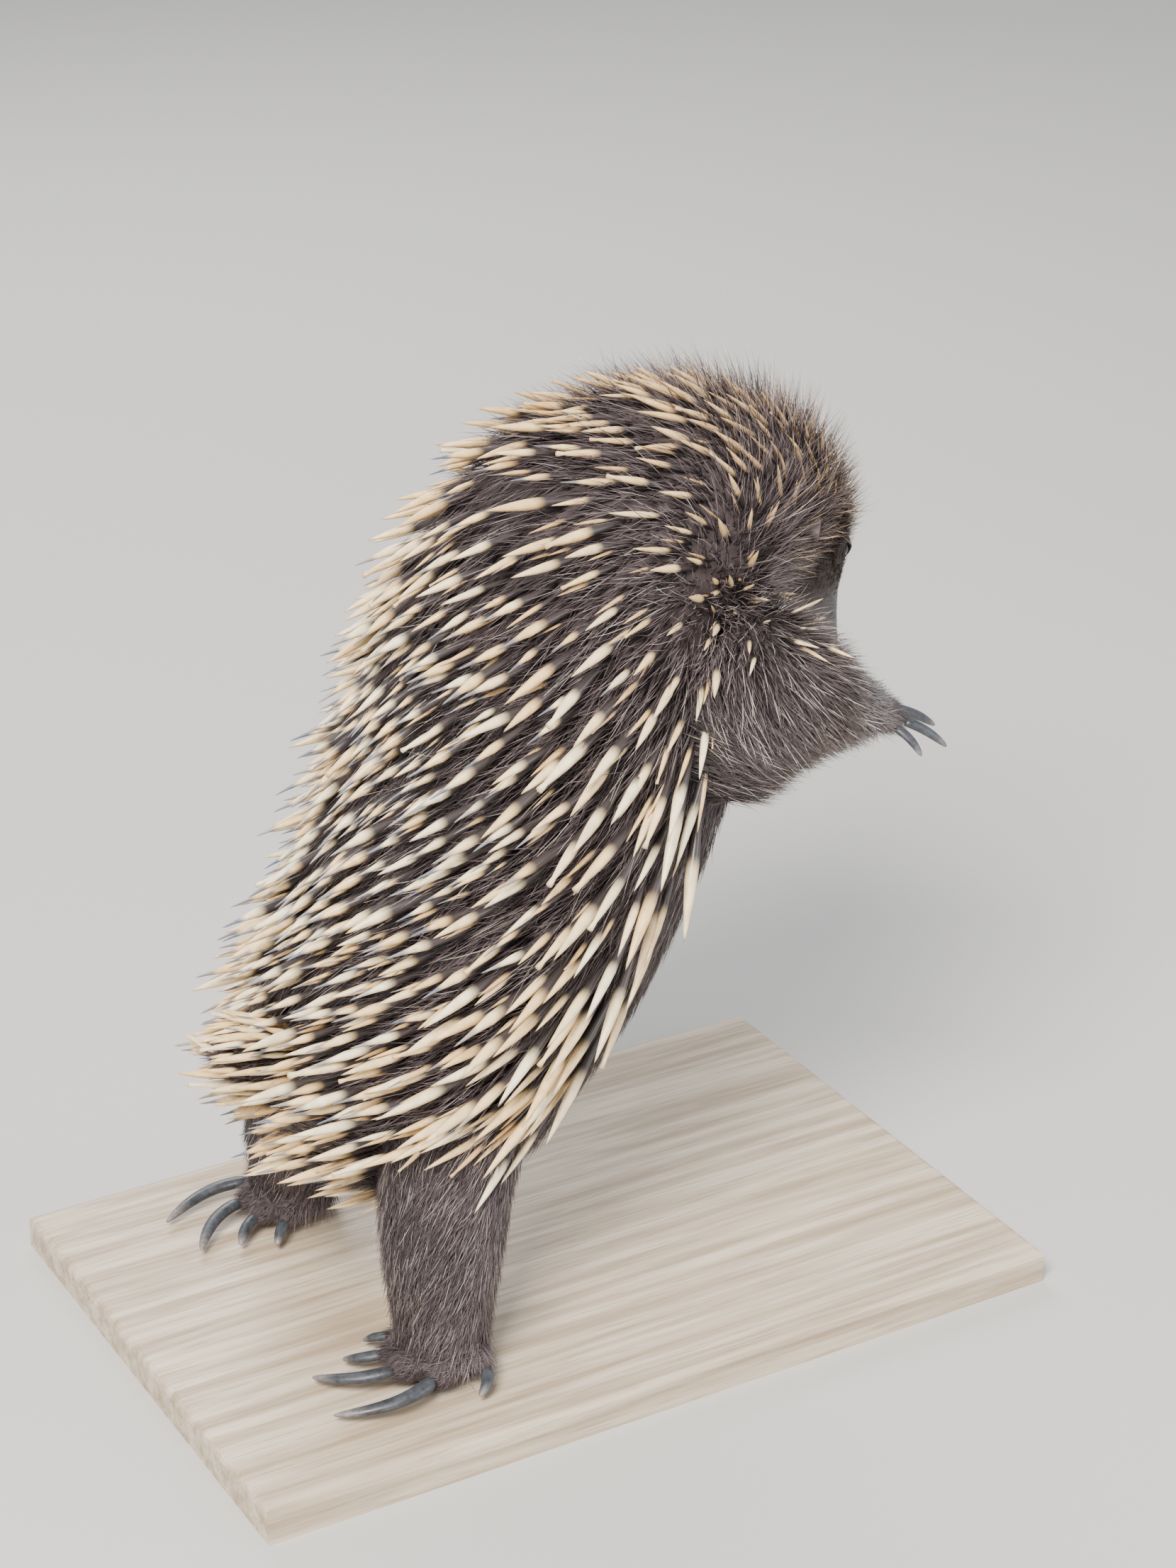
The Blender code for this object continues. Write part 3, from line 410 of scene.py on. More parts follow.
class Trunk:
    """A tube of changing oval section along a curved axis, read by the length along that axis."""

    SAMPLES = 600
    # The surface's lie is measured between two places, this far to either side and round the axis.
    STEP = 0.5 * MM
    TURN_STEP = 0.01
    MARGIN = 0.2 * MM  # how far from the tube's ends that stays
    LOFT_MARGIN = 0.02 * MM

    def __init__(self, name, stations, back, rounding=(0, 0), side=1, skin=True):
        rows = []
        for x, y, z, *sizes, depth in stations.values():
            depth = depth if skin else 0
            rows.append([*standing(x, y * side, z), *((v - depth) * MM for v in sizes)])
        steps = np.linspace(0, len(rows) - 1, self.SAMPLES)
        self.name = name
        self.table = catmull_rom(np.array(rows), steps)
        gaps = np.linalg.norm(np.diff(self.table[:, :3], axis=0), axis=1)
        self.lengths = np.concatenate([[0], np.cumsum(gaps)])
        self.length = self.lengths[-1]
        self.at = {key: np.interp(i, steps, self.lengths) for i, key in enumerate(stations)}
        self.start_round, self.end_round = rounding
        self.tangents = unit(np.gradient(self.table[:, :3], self.lengths, axis=0))
        back = np.array(back, float)
        self.backs = []
        for tangent in self.tangents:
            back = unit(back - tangent * np.dot(back, tangent))
            self.backs.append(back)
        self.backs = np.array(self.backs)

    def read(self, table, s):
        return np.stack([np.interp(s, self.lengths, column) for column in table.T], -1)

    def rounding(self, s):
        """How far the section is drawn in near a rounded end."""
        share = np.ones_like(s)
        for distance, reach in ((s, self.start_round), (self.length - s, self.end_round)):
            if reach:
                near = np.clip(1 - distance / reach, 0, 1)
                share = share * np.sqrt(1 - near**2)
        return share

    def axes(self, s):
        """The centres, tangents, backs and lefts of the sections at s."""
        tangent = unit(self.read(self.tangents, s))
        back = self.read(self.backs, s)
        back = unit(back - tangent * dot(back, tangent))
        return self.read(self.table[:, :3], s), tangent, back, np.cross(back, tangent)

    def axes_at(self, s):
        """One section's centre, tangent, back and left."""
        return [Vector(v[0]) for v in self.axes(np.array([s]))]

    def sizes(self, s):
        return self.read(self.table[:, 3:], s) * col(self.rounding(s))

    def point(self, s, turn):
        """The surface points at s, turned from the back towards the left."""
        centre, _, back, left = self.axes(s)
        half, over, under = self.sizes(s).T
        across = np.where(np.cos(turn) > 0, over, under)
        return centre + left * col(half * np.sin(turn)) + back * col(across * np.cos(turn))

    def surface(self, s, turn):
        """The points, their normals, and the directions to the start and to the back."""
        low = np.maximum(s - self.STEP, self.MARGIN)
        high = np.minimum(s + self.STEP, self.length - self.MARGIN)
        here = self.point(s, turn)
        ahead = self.point(high, turn) - self.point(low, turn)
        around = self.point(s, turn + self.TURN_STEP) - self.point(s, turn - self.TURN_STEP)
        normal = unit(np.cross(ahead, around))
        outward = dot(normal, here - self.axes(s)[0])
        normal = np.where(outward < 0, -normal, normal)
        to_back = unit(around) * col(np.where(turn > 0, -1, 1))
        return here, normal, -unit(ahead), to_back

    def place(self, s, turn):
        """One place's point, normal and direction to the start, for a single piece."""
        here, normal, to_start, _ = self.surface(np.array([s]), np.array([turn]))
        return Vector(here[0]), Vector(normal[0]), Vector(to_start[0])

    def loft(self):
        """A closed mesh of the whole tube."""
        rings = max(6, int(self.length / LOFT_STEP))
        s = np.linspace(self.LOFT_MARGIN, self.length - self.LOFT_MARGIN, rings)
        # The rings lie a little closer together at a rounded start.
        if self.start_round:
            s = s[0] + (s - s[0]) ** 1.15 / (s[-1] - s[0]) ** 0.15
        turn = np.tile(circle(LOFT_SIDES), rings)
        points = self.point(np.repeat(s, LOFT_SIDES), turn)
        last = (rings - 1) * LOFT_SIDES
        faces = []
        for low in range(0, last, LOFT_SIDES):
            high = low + LOFT_SIDES
            for k in range(LOFT_SIDES):
                n = (k + 1) % LOFT_SIDES
                faces.append((low + k, high + k, high + n, low + n))
        faces += [range(LOFT_SIDES), range(last, last + LOFT_SIDES)[::-1]]
        mesh = bpy.data.meshes.new(self.name)
        mesh.from_pydata(points, [], faces)
        obj = linked(self.name, mesh)
        outwards(obj)
        return obj


# Handling of objects

def select(*objects):
    bpy.ops.object.select_all(action="DESELECT")
    for obj in objects:
        obj.select_set(True)
    bpy.context.view_layer.objects.active = objects[0]


@contextmanager
def edit_mode(obj, keep=False):
    """Edit mode, with all of the mesh selected unless its own selection is kept."""
    select(obj)
    bpy.ops.object.mode_set(mode="EDIT")
    if not keep:
        bpy.ops.mesh.select_all(action="SELECT")
    yield
    bpy.ops.object.mode_set(mode="OBJECT")


def outwards(obj):
    """Merges an object's doubles and turns its faces outwards."""
    with edit_mode(obj):
        bpy.ops.mesh.remove_doubles(threshold=1e-6)
        bpy.ops.mesh.normals_make_consistent(inside=False)


def linked(name, data):
    """A new object of a mesh or camera, linked to the scene."""
    obj = bpy.data.objects.new(name, data)
    bpy.context.scene.collection.objects.link(obj)
    return obj


def keep_values(obj, name, values):
    """Keeps one value with each vertex, for the materials."""
    layer = obj.data.attributes.new(name, "FLOAT", "POINT")
    layer.data.foreach_set("value", values.astype(np.float32))


def move_vertices(obj, points):
    obj.data.vertices.foreach_set("co", np.asarray(points, np.float32).ravel())
    obj.data.update()


def settle(obj):
    """Puts an object's place and turn into its mesh."""
    select(obj)
    bpy.ops.object.transform_apply(location=True, rotation=True, scale=True)


def modified(obj, kind, **values):
    """Adds a modifier with these values and applies it."""
    select(obj)
    modifier = obj.modifiers.new(kind.lower(), kind)
    for key, value in values.items():
        setattr(modifier, key, value)
    bpy.ops.object.modifier_apply(modifier=modifier.name)


def joined(name, objects):
    select(*objects)
    bpy.ops.object.join()
    obj = bpy.context.object
    obj.name = obj.data.name = name
    return obj


def facing(place, direction, up):
    """A move to place with a turn that points +Z along direction and keeps +X close to up."""
    z = direction.normalized()
    x = (up - z * up.dot(z)).normalized()
    return Matrix.Translation(place) @ Matrix((x, z.cross(x), z)).transposed().to_4x4()


def add_ball(name, matrix, sizes, segments, rings):
    """A sphere drawn out to three half sizes along the axes of matrix."""
    bpy.ops.mesh.primitive_uv_sphere_add(segments=segments, ring_count=rings, radius=1)
    obj = bpy.context.object
    obj.name = obj.data.name = name
    obj.matrix_world = matrix @ Matrix.Diagonal((*sizes, 1))
    settle(obj)
    return obj


def finished(obj, material, slot, *nodes):
    """Gives a piece its finish, hides the solids that it stands for, and puts it under the root
    body; slot is not used.
    """
    select(obj)
    bpy.ops.object.shade_smooth()
    obj.data.materials.clear()
    obj.data.materials.append(material)
    if nodes:
        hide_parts(*nodes)
    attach(obj, "root")


# Shader nodes

def add(tree, kind, settings=None, **inputs):
    """A node with these settings, its inputs set or linked by name."""
    node = tree.nodes.new("ShaderNode" + kind)
    for key, value in (settings or {}).items():
        setattr(node, key, value)
    for key, value in inputs.items():
        wire(tree, value, node.inputs[key.replace("_", " ")])
    return node


def wire(tree, value, socket):
    if isinstance(value, bpy.types.NodeSocket):
        tree.links.new(value, socket)
    else:
        socket.default_value = value


def mix(tree, factor, a, b, blend="MIX"):
    node = add(tree, "Mix", {"data_type": "RGBA", "blend_type": blend})
    # A mix node has its two colours after those of the other kinds of value.
    for value, index in ((factor, 0), (a, 6), (b, 7)):
        if isinstance(value, tuple):
            value = (*value, 1)
        wire(tree, value, node.inputs[index])
    return node.outputs[2]


def times(tree, colour, tone):
    return mix(tree, 1.0, colour, tone, "MULTIPLY")


def maths(tree, operation, a, b):
    node = add(tree, "Math", {"operation": operation})
    wire(tree, a, node.inputs[0])
    wire(tree, b, node.inputs[1])
    return node.outputs[0]


def spread(tree, value, low, high, to_low=0.0, to_high=1.0):
    """The value eased from one range to another."""
    node = add(tree, "MapRange", {"interpolation_type": "SMOOTHSTEP"})
    for part, index in ((value, 0), (low, 1), (high, 2), (to_low, 3), (to_high, 4)):
        wire(tree, part, node.inputs[index])
    return node.outputs[0]


def ramp(tree, factor, stops):
    node = add(tree, "ValToRGB")
    elements = node.color_ramp.elements
    while len(elements) < len(stops):
        elements.new(1)
    for element, (place, colour) in zip(elements, stops):
        element.position = place
        element.color = (*colour, 1)
    wire(tree, factor, node.inputs[0])
    return node.outputs[0]


def object_place(tree):
    return add(tree, "TexCoord").outputs["Object"]


def noise(tree, scale, detail=3.0, vector=None):
    vector = vector or object_place(tree)
    return add(tree, "TexNoise", Vector=vector, Scale=scale, Detail=detail).outputs["Fac"]


def near(tree, centre, low, high):
    """One within a distance of centre, falling to nothing at a larger one."""
    node = add(tree, "VectorMath", {"operation": "DISTANCE"})
    wire(tree, object_place(tree), node.inputs[0])
    node.inputs[1].default_value = centre
    return spread(tree, node.outputs["Value"], low, high, 1.0, 0.0)


def attribute(tree, name):
    return add(tree, "Attribute", {"attribute_name": name}).outputs["Fac"]


def new_group(name, inputs, outputs):
    """An empty node group with these named sockets, and its input and output nodes."""
    group = bpy.data.node_groups.new(name, "ShaderNodeTree")
    for way, sockets in (("INPUT", inputs), ("OUTPUT", outputs)):
        for key, kind in sockets.items():
            group.interface.new_socket(key, in_out=way, socket_type="NodeSocket" + kind)
    return group, group.nodes.new("NodeGroupInput"), group.nodes.new("NodeGroupOutput")


def grouped(tree, group, **inputs):
    node = tree.nodes.new("ShaderNodeGroup")
    node.node_tree = group
    for key, value in inputs.items():
        wire(tree, value, node.inputs[key])
    return node.outputs[0]


def markings_group():
    """The colour of skin and fur at each place of the body."""
    group, _, out = new_group("coat_markings", {}, {"Colour": "Color"})
    place = add(group, "SeparateXYZ", Vector=object_place(group))
    # The belly's side of a plane along the body's axis, the legs' height, and three round parts.
    slope = maths(group, "MULTIPLY", place.outputs["Z"], -0.45)
    forward = maths(group, "ADD", place.outputs["X"], slope)
    belly = spread(group, forward, -0.045, 0.0)
    legs = spread(group, place.outputs["Z"], 0.062, 0.105, 1.0, 0.0)
    arms = near(group, ARMS_MIDDLE, 0.052, 0.085)
    paws = maths(group, "ADD", *(near(group, palm, 0.012, 0.028) for palm in PALMS))
    face = near(group, FACE_MIDDLE, 0.03, 0.05)
    colour = EARTH_BROWN
    for share, there in ((belly, BELLY_BROWN), (legs, LEG_BROWN), (arms, ARM_BROWN),
                         (paws, PAW_GREY), (face, FACE_BROWN)):
        colour = mix(group, share, colour, there)
    tone = spread(group, noise(group, 45.0), 0.3, 0.7, 0.75, 1.25)
    wire(group, times(group, colour, tone), out.inputs["Colour"])
    return group


def strand_group():
    """A strand's colour, darker at its root and varied from one to the next."""
    group, given, out = new_group("strand_tone", {"Colour": "Color"}, {"Colour": "Color"})
    along = spread(group, attribute(group, "along"), 0.0, 0.9, 0.45, 1.35)
    varied = spread(group, attribute(group, "shade"), 0.0, 1.0, 0.65, 1.35)
    tone = maths(group, "MULTIPLY", along, varied)
    wire(group, times(group, given.outputs["Colour"], tone), out.inputs["Colour"])
    return group


def new_material(name, roughness, **constants):
    material = bpy.data.materials.new(name)
    material.use_nodes = True
    tree = material.node_tree
    shader = tree.nodes["Principled BSDF"]
    shader.inputs["Roughness"].default_value = roughness
    for key, value in constants.items():
        shader.inputs[key.replace("_", " ")].default_value = value
    return material, tree, shader


def bump(tree, shader, height, strength, distance):
    node = add(tree, "Bump", Strength=strength, Distance=distance, Height=height)
    wire(tree, node.outputs[0], shader.inputs["Normal"])


def skin_material(markings):
    material, tree, shader = new_material("skin", 0.62)
    beak = near(tree, BEAK_MIDDLE, 0.026, 0.046)
    under = times(tree, grouped(tree, markings), UNDER_FUR_TONE)
    pores = noise(tree, 620.0, 6.0)
    blotches = noise(tree, 120.0)
    grey = mix(tree, spread(tree, blotches, 0.3, 0.7), BEAK_GREY, BEAK_MOTTLE)
    colour = mix(tree, beak, under, grey)
    colour = mix(tree, attribute(tree, "lid"), colour, LID_GREY)
    wire(tree, colour, shader.inputs["Base Color"])
    wire(tree, spread(tree, beak, 0.0, 1.0, 0.75, 0.42), shader.inputs["Roughness"])
    bump(tree, shader, maths(tree, "ADD", pores, blotches), 0.8, 0.6 * MM)
    return material


def fur_material(name, markings, strand, colour=None):
    material, tree, shader = new_material(name, 0.5)
    base = colour and (*colour, 1) or grouped(tree, markings)
    wire(tree, grouped(tree, strand, Colour=base), shader.inputs["Base Color"])
    return material


def spine_material():
    """Cream horn, dark at the root, with a brownish tip or a long dark needle whose blue grey is
    partly a painted sky reflection.
    """
    material, tree, shader = new_material("spine_horn", 0.36, Coat_Weight=0.15)
    along = attribute(tree, "along")
    shade = attribute(tree, "shade")
    # Tan to cream to ivory; the tan end is the head spines' own colour and painted shade on the
    # slim spines.
    body = ramp(tree, shade, ((0.0, SPINE_TAN_AND_SHADE), (0.45, SPINE_CREAM), (1.0, SPINE_IVORY)))
    streaks = noise(tree, 260.0, 4.0)
    body = times(tree, body, spread(tree, streaks, 0.25, 0.75, 0.8, 1.1))
    above = maths(tree, "SUBTRACT", along, attribute(tree, "dark_root"))
    root = spread(tree, above, -0.08, 0.08, 1.0, 0.0)
    colour = mix(tree, root, body, SPINE_ROOT)
    colour = mix(tree, spread(tree, along, 0.88, 1.0, 0.0, 0.7), colour, SPINE_TIP)
    # The needle tips: their own dark colour with a painted sky reflection on it.
    slate = maths(tree, "MULTIPLY", attribute(tree, "needle"), spread(tree, along, 0.74, 0.84))
    wire(tree, mix(tree, slate, colour, SPINE_SLATE_SKY_SHEEN), shader.inputs["Base Color"])
    bump(tree, shader, streaks, 0.25, 0.2 * MM)
    return material


def ear_material():
    """Brown skin, darkened deep in the ear by painted shade."""
    material, tree, shader = new_material("ear_skin", 0.6)
    colour = mix(tree, noise(tree, 300.0), EAR_DARK, EAR_PALE)
    # Painted shade: the skin darkens with depth below the ear's rim.
    colour = mix(tree, attribute(tree, "hollow"), colour, EAR_HOLLOW_SHADE)
    wire(tree, colour, shader.inputs["Base Color"])
    return material


def eye_material():
    """Wet black, with a little brown in it."""
    material, tree, shader = new_material("eye_black", 0.05, Specular_IOR_Level=0.3)
    colour = mix(tree, noise(tree, 400.0), EYE_DARK, EYE_PALE)
    wire(tree, colour, shader.inputs["Base Color"])
    return material


def claw_material():
    """Dusty slate horn, worn pale at the tip."""
    material, tree, shader = new_material("claw_horn", 0.42)
    grain = noise(tree, 700.0, 5.0)
    dust = spread(tree, noise(tree, 160.0), 0.2, 0.8)
    colour = mix(tree, dust, CLAW_DARK, CLAW_SLATE)
    colour = mix(tree, spread(tree, attribute(tree, "along"), 0.6, 1.0, 0.0, 0.8), colour, CLAW_TIP)
    tone = spread(tree, grain, 0.25, 0.75, 0.7, 1.3)
    wire(tree, times(tree, colour, tone), shader.inputs["Base Color"])
    wire(tree, spread(tree, dust, 0.0, 1.0, 0.34, 0.55), shader.inputs["Roughness"])
    bump(tree, shader, grain, 0.35, 0.2 * MM)
    return material


def board_material():
    """Pale oiled board, its grain along the length."""
    material, tree, shader = new_material("oiled_board", 0.45)
    turned = add(tree, "Mapping", Vector=object_place(tree), Scale=(3.0, 70.0, 70.0)).outputs[0]
    rings = noise(tree, 3.0, 12.0, turned)
    pores = noise(tree, 14.0, 8.0, turned)
    colour = ramp(tree, rings, ((0.36, BOARD_GRAIN), (0.62, BOARD_PALE)))
    colour = mix(tree, spread(tree, pores, 0.5, 0.7, 0.0, 0.5), colour, BOARD_PORE)
    wire(tree, colour, shader.inputs["Base Color"])
    wire(tree, spread(tree, pores, 0.3, 0.7, 0.38, 0.55), shader.inputs["Roughness"])
    bump(tree, shader, pores, 0.2, 0.2 * MM)
    return material


# Pieces of flesh

def toe(name, start, end, radius):
    """An egg-shaped toe whose skin comes a little over the claw's root."""
    ahead = (end - start).normalized()
    end = end + ahead * TOE_OVERLAP
    half = (end - start).length / 2 + radius * TOE_HEEL
    middle = (start + end) / 2 - ahead * radius * TOE_HEEL
    return add_ball(name, facing(middle, ahead, Vector((0, 0, 1))), (radius, radius, half), 20, 14)


def all_toes(trunks):
    """The start, end and radius of every toe."""
    toes = []
    for key, side in SIDES.items():
        for start, end, radius in HIND_TOES:
            (x0, y0, z0), (x1, y1, z1) = start, end
            start, end = standing(x0, y0 * side, z0), standing(x1, y1 * side, z1)
            toes.append((start, end, radius * TOE_OVER_CLAW * MM))
        leg = trunks[f"foreleg_{key}"]
        palm, ahead, up, left = leg.axes_at(leg.at["palm"])
        for angle, length, radius in FORE_TOES:
            turn = math.radians(angle)
            out = ahead * math.cos(turn) + left * math.sin(turn)
            end = palm + out * length * MM - up * FORE_TOE_DROP
            toes.append((palm + out * FORE_TOE_START, end, radius * TOE_OVER_CLAW * MM))
    return toes


def make_skin(trunks, toes, material):
    """One skin over the body, tail, legs and feet, with nostrils and the mouth cut in it."""
    parts = [trunk.loft() for trunk in trunks.values()]
    parts += [toe(f"toe {i}", *sizes) for i, sizes in enumerate(toes)]
    skin = joined("echidna_skin", parts)
    modified(skin, "REMESH", mode="VOXEL", voxel_size=SKIN_VOXEL)
    modified(skin, "SMOOTH", factor=0.5, iterations=SKIN_SMOOTHING)
    body = trunks["body"]
    tip, axis, back, _ = body.axes_at(body.length)
    slot = facing(tip - back * MOUTH_BELOW_AXIS, axis, back)
    cutters = [add_ball("mouth", slot, MOUTH_SIZE, 32, 24)]
    low = body.length - NOSTRIL_BEHIND_TIP
    centre, axis, back, left = body.axes_at(low)
    top = centre + back * body.sizes(np.array([low]))[0][1]
    for side in SIDES.values():
        place = facing(top + left * side * NOSTRIL_APART, back + left * side * 0.5, axis)
        cutters.append(add_ball("nostril", place, NOSTRIL_SIZE, 16, 12))
    for cutter in cutters:
        modified(skin, "BOOLEAN", operation="DIFFERENCE", solver="EXACT", object=cutter)
        bpy.data.objects.remove(cutter)
    finished(skin, material, "beak_skin", "torso", "neck", "head", "beak", "tail",
             "hindleg_left", "hindleg_right", "foreleg_left", "foreleg_right")
    return skin


def ring_strip(name, rings):
    """An open strip of quads through rings of points, made by extruding a circle."""
    bpy.ops.mesh.primitive_circle_add(vertices=len(rings[0]), radius=1, fill_type="NOTHING")
    obj = bpy.context.object
    obj.name = obj.data.name = name
    with edit_mode(obj):
        for _ in rings[1:]:
            bpy.ops.mesh.extrude_edges_move()
    move_vertices(obj, np.concatenate(rings))
    return obj


def put_outward(obj, place, out):
    """Moves an open strip to its place and turns its faces to look along out."""
    obj.matrix_world = place
    settle(obj)
    total = Vector()
    for face in obj.data.polygons:
        total += face.normal * face.area
    if total.dot(out) < 0:
        obj.data.flip_normals()


bare_places = []  # where no fur is rooted: place and radius


def make_eye(name, side, body, eye, lid):
    """A ball of an eye, and upper and lower lid in one ring of skin round it."""
    s = body.at["eyes"] - EYE_BEFORE_STATION
    here, out, to_rump = body.place(s, EYE_TURN * side)
    place = facing(here - out * EYE_DEPTH, out, -to_rump)
    bare_places.append((here, LID_REACH[1] * EYE_BARE))
    ball = add_ball(f"{name}_ball", place, (EYE_RADIUS,) * 3, 40, 28)
    finished(ball, eye, "eye", name)

    angles = circle(LID_SIDES)
    radius = EYE_RADIUS + LID_CLEARANCE
    on_ball = radius * LID_ON_BALL
    rings = []
    ridges, wrinkle = LID_WRINKLES
    for share in np.linspace(0, 1, LID_RINGS):
        long = LID_OPENING[0] * (1 - share) + LID_REACH[0] * share
        high = LID_OPENING[1] * (1 - share) + LID_REACH[1] * share
        # The corners of the opening are drawn to points.
        x = long * np.cos(angles) * (1 + LID_CORNER * (1 - share) * np.cos(angles) ** 8)
        y = high * np.sin(angles)
        away = np.hypot(x, y)
        dome = np.sqrt(radius**2 - np.minimum(away, on_ball) ** 2)
        z = dome - np.maximum(0, away - on_ball) * LID_FALL
        z = z + np.interp(share, *zip(*LID_FOLDS)) * MM
        z = z + wrinkle * np.sin(ridges * angles) * math.sin(math.pi * share)
        rings.append(np.stack([x, y, z], -1))
    lids = ring_strip(f"{name}_lids", rings)
    darkness = np.linspace(LID_DARKNESS, 0.0, LID_RINGS) ** 0.7
    keep_values(lids, "lid", np.repeat(darkness, LID_SIDES))
    put_outward(lids, place, out)
    modified(lids, "SOLIDIFY", thickness=LID_THICKNESS, offset=1.0, use_even_offset=True)
    modified(lids, "SUBSURF", levels=1, render_levels=1)
    finished(lids, lid, "beak_skin")


def make_ear(name, side, body, material):
    """The ear's upright slit, open outwards, with a rolled rim and painted shade deep inside."""
    s = body.at["brow"] - EAR_BEHIND_BROW
    here, out, to_rump = body.place(s, EAR_TURN * side)
    place = facing(here, out - to_rump * EAR_TILT, to_rump)
    bare_places.append((here, EAR_SIZE[1] * EAR_BARE))
    angles = circle(EAR_SIDES)
    rings = []
    long, wide, deep = EAR_SIZE
    for size, depth in EAR_RINGS:
        x = long * size * np.cos(angles)
        y = wide * size * np.sin(angles)
        z = deep * (depth + EAR_REAR_HIGHER * size * np.cos(angles))
        rings.append(np.stack([x, y, z], -1))
    ear = ring_strip(f"{name}_cup", rings)
    with edit_mode(ear):
        bpy.ops.mesh.select_mode(type="EDGE")
        bpy.ops.mesh.select_all(action="DESELECT")
    for edge in ear.data.edges:
        edge.select = all(v < EAR_SIDES for v in edge.vertices)
    with edit_mode(ear, keep=True):
        bpy.ops.mesh.edge_face_add()
        bpy.ops.mesh.select_mode(type="VERT")
    put_outward(ear, place, out)
    modified(ear, "SOLIDIFY", thickness=EAR_WALL, offset=0.0, use_even_offset=True)
    modified(ear, "SUBSURF", levels=2, render_levels=2)
    # Painted shade: how deep each vertex lies below the rim sets how dark it is.
    points = np.array([vertex.co for vertex in ear.data.vertices])
    height = (points - np.array(place.translation)) @ np.array(place.col[2][:3])
    keep_values(ear, "hollow", share_of(height.max() - height, *EAR_HOLLOW_SHADE_SPAN))
    finished(ear, material, "ear_skin", name)


def shape_claw(claw, foot):
    """Blunts a claw and keeps with each vertex how far it is from the root at the foot."""
    points = np.array([vertex.co for vertex in claw.data.vertices])
    middle = points.mean(axis=0)
    axis = np.linalg.svd(points - middle, full_matrices=False)[2][0]
    if np.dot(axis, middle - np.array(foot)) < 0:
        axis = -axis
    along = (points - middle) @ axis
    along = (along - along.min()) / (along.max() - along.min())
    order = np.argsort(along)
    window = max(8, len(order) // 12)
    spans = np.array_split(order, max(4, len(order) // window))
    places = [along[span].mean() for span in spans]
    centres = np.array([points[span].mean(axis=0) for span in spans])
    centre = np.stack([np.interp(along, places, column) for column in centres.T], -1)
    swell = 1 + CLAW_SWELL * share_of(along, *CLAW_SWELL_SPAN)
    swell = np.where(along > places[-1], 1, swell)
    points = centre + (points - centre) * col(swell)
    move_vertices(claw, points)
    keep_values(claw, "along", along)


def make_claws(material, feet):
    """Smooth curved claws from the solids' own."""
    for name, node in sorted(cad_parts.items()):
        if not name.startswith("claw_"):
            continue
        claw = linked(name + "_horn", node.data.copy())
        outwards(claw)
        with edit_mode(claw):
            bpy.ops.mesh.tris_convert_to_quads()
        shape_claw(claw, min(feet, key=lambda foot: (foot - claw.data.vertices[0].co).length))
        modified(claw, "SUBSURF", levels=2, render_levels=2)
        finished(claw, material, "claw_horn", name)


# The coat

def rows_at(table, trunk, s):
    """A table of stations read at s, one array for each column."""
    lengths = [trunk.at[name] for name in table]
    return [np.interp(s, lengths, column) for column in zip(*table.values())]


APART = 7  # column of the coat's tables


def laid(directions, normals):
    """The directions laid flat on the skin."""
    return unit(directions - normals * dot(directions, normals))


def raised(flat, normals, stand):
    """The flat directions raised from the skin by the angles."""
    return flat * col(np.cos(stand)) + normals * col(np.sin(stand))


def whorl_middle(side):
    x, y, z = WHORL
    return standing(x, y * side, z)


def from_whorls(here):
    """The way from each shoulder's whorl to each place, and how near the place is to it."""
    for side in SIDES.values():
        away = here - np.array(whorl_middle(side))
        share = share_of(np.linalg.norm(away, axis=1), *WHORL_REACH)
        yield away, share**2 * (3 - 2 * share)


def whorled(here, normal, flat, stand):
    """The lie of hair and spines near the shoulders' whorls."""
    for away, share in from_whorls(here):
        flat = unit(flat * col(1 - share) + laid(away, normal) * col(share))
        stand = stand + np.radians(WHORL_STAND) * share**2
    return flat, stand


def rump_flow(s, edge):
    """How far the coat at s follows the rump's one direction."""
    share = share_of(s, RUMP_FLOW_END, RUMP_FLOW_FULL)
    return RUMP_FLOW_SHARE * share * (1 - RUMP_FLOW_EDGE * edge**3)


def spine_places(coat, trunk, start, end, rng):
    """The length along the trunk and the turn of each spine, in staggered rows."""
    rows = [start]
    while rows[-1] < end:
        rows.append(rows[-1] + rows_at(coat, trunk, rows[-1])[APART] * MM * ROWS_APART)
    places = []
    for row, s in enumerate(rows):
        cover, apart = (rows_at(coat, trunk, s)[i] for i in (0, APART))
        half, over, _ = trunk.sizes(np.array([s]))[0]
        count = max(1, round(math.radians(cover) * (half + over) / (apart * MM)))
        i = np.arange(count)
        turn = 2 * (i + 0.25 + 0.5 * (row % 2)) / count - 1
        turn = math.radians(cover) * turn * (1 - LOOSER_EDGE + LOOSER_EDGE * turn**2)
        stray = rng.uniform(-SPINE_STRAY_ROUND, SPINE_STRAY_ROUND, count)
        turn += stray * math.radians(cover) / count
        stray = rng.uniform(-SPINE_STRAY_ALONG, SPINE_STRAY_ALONG, count)
        along = np.maximum(start * 0.5, s + stray * apart * MM)
        places.append(np.stack([along, turn], -1))
    places = np.concatenate(places)
    keep = places[:, 0] < min(end, trunk.length - MM)
    return places[keep].T


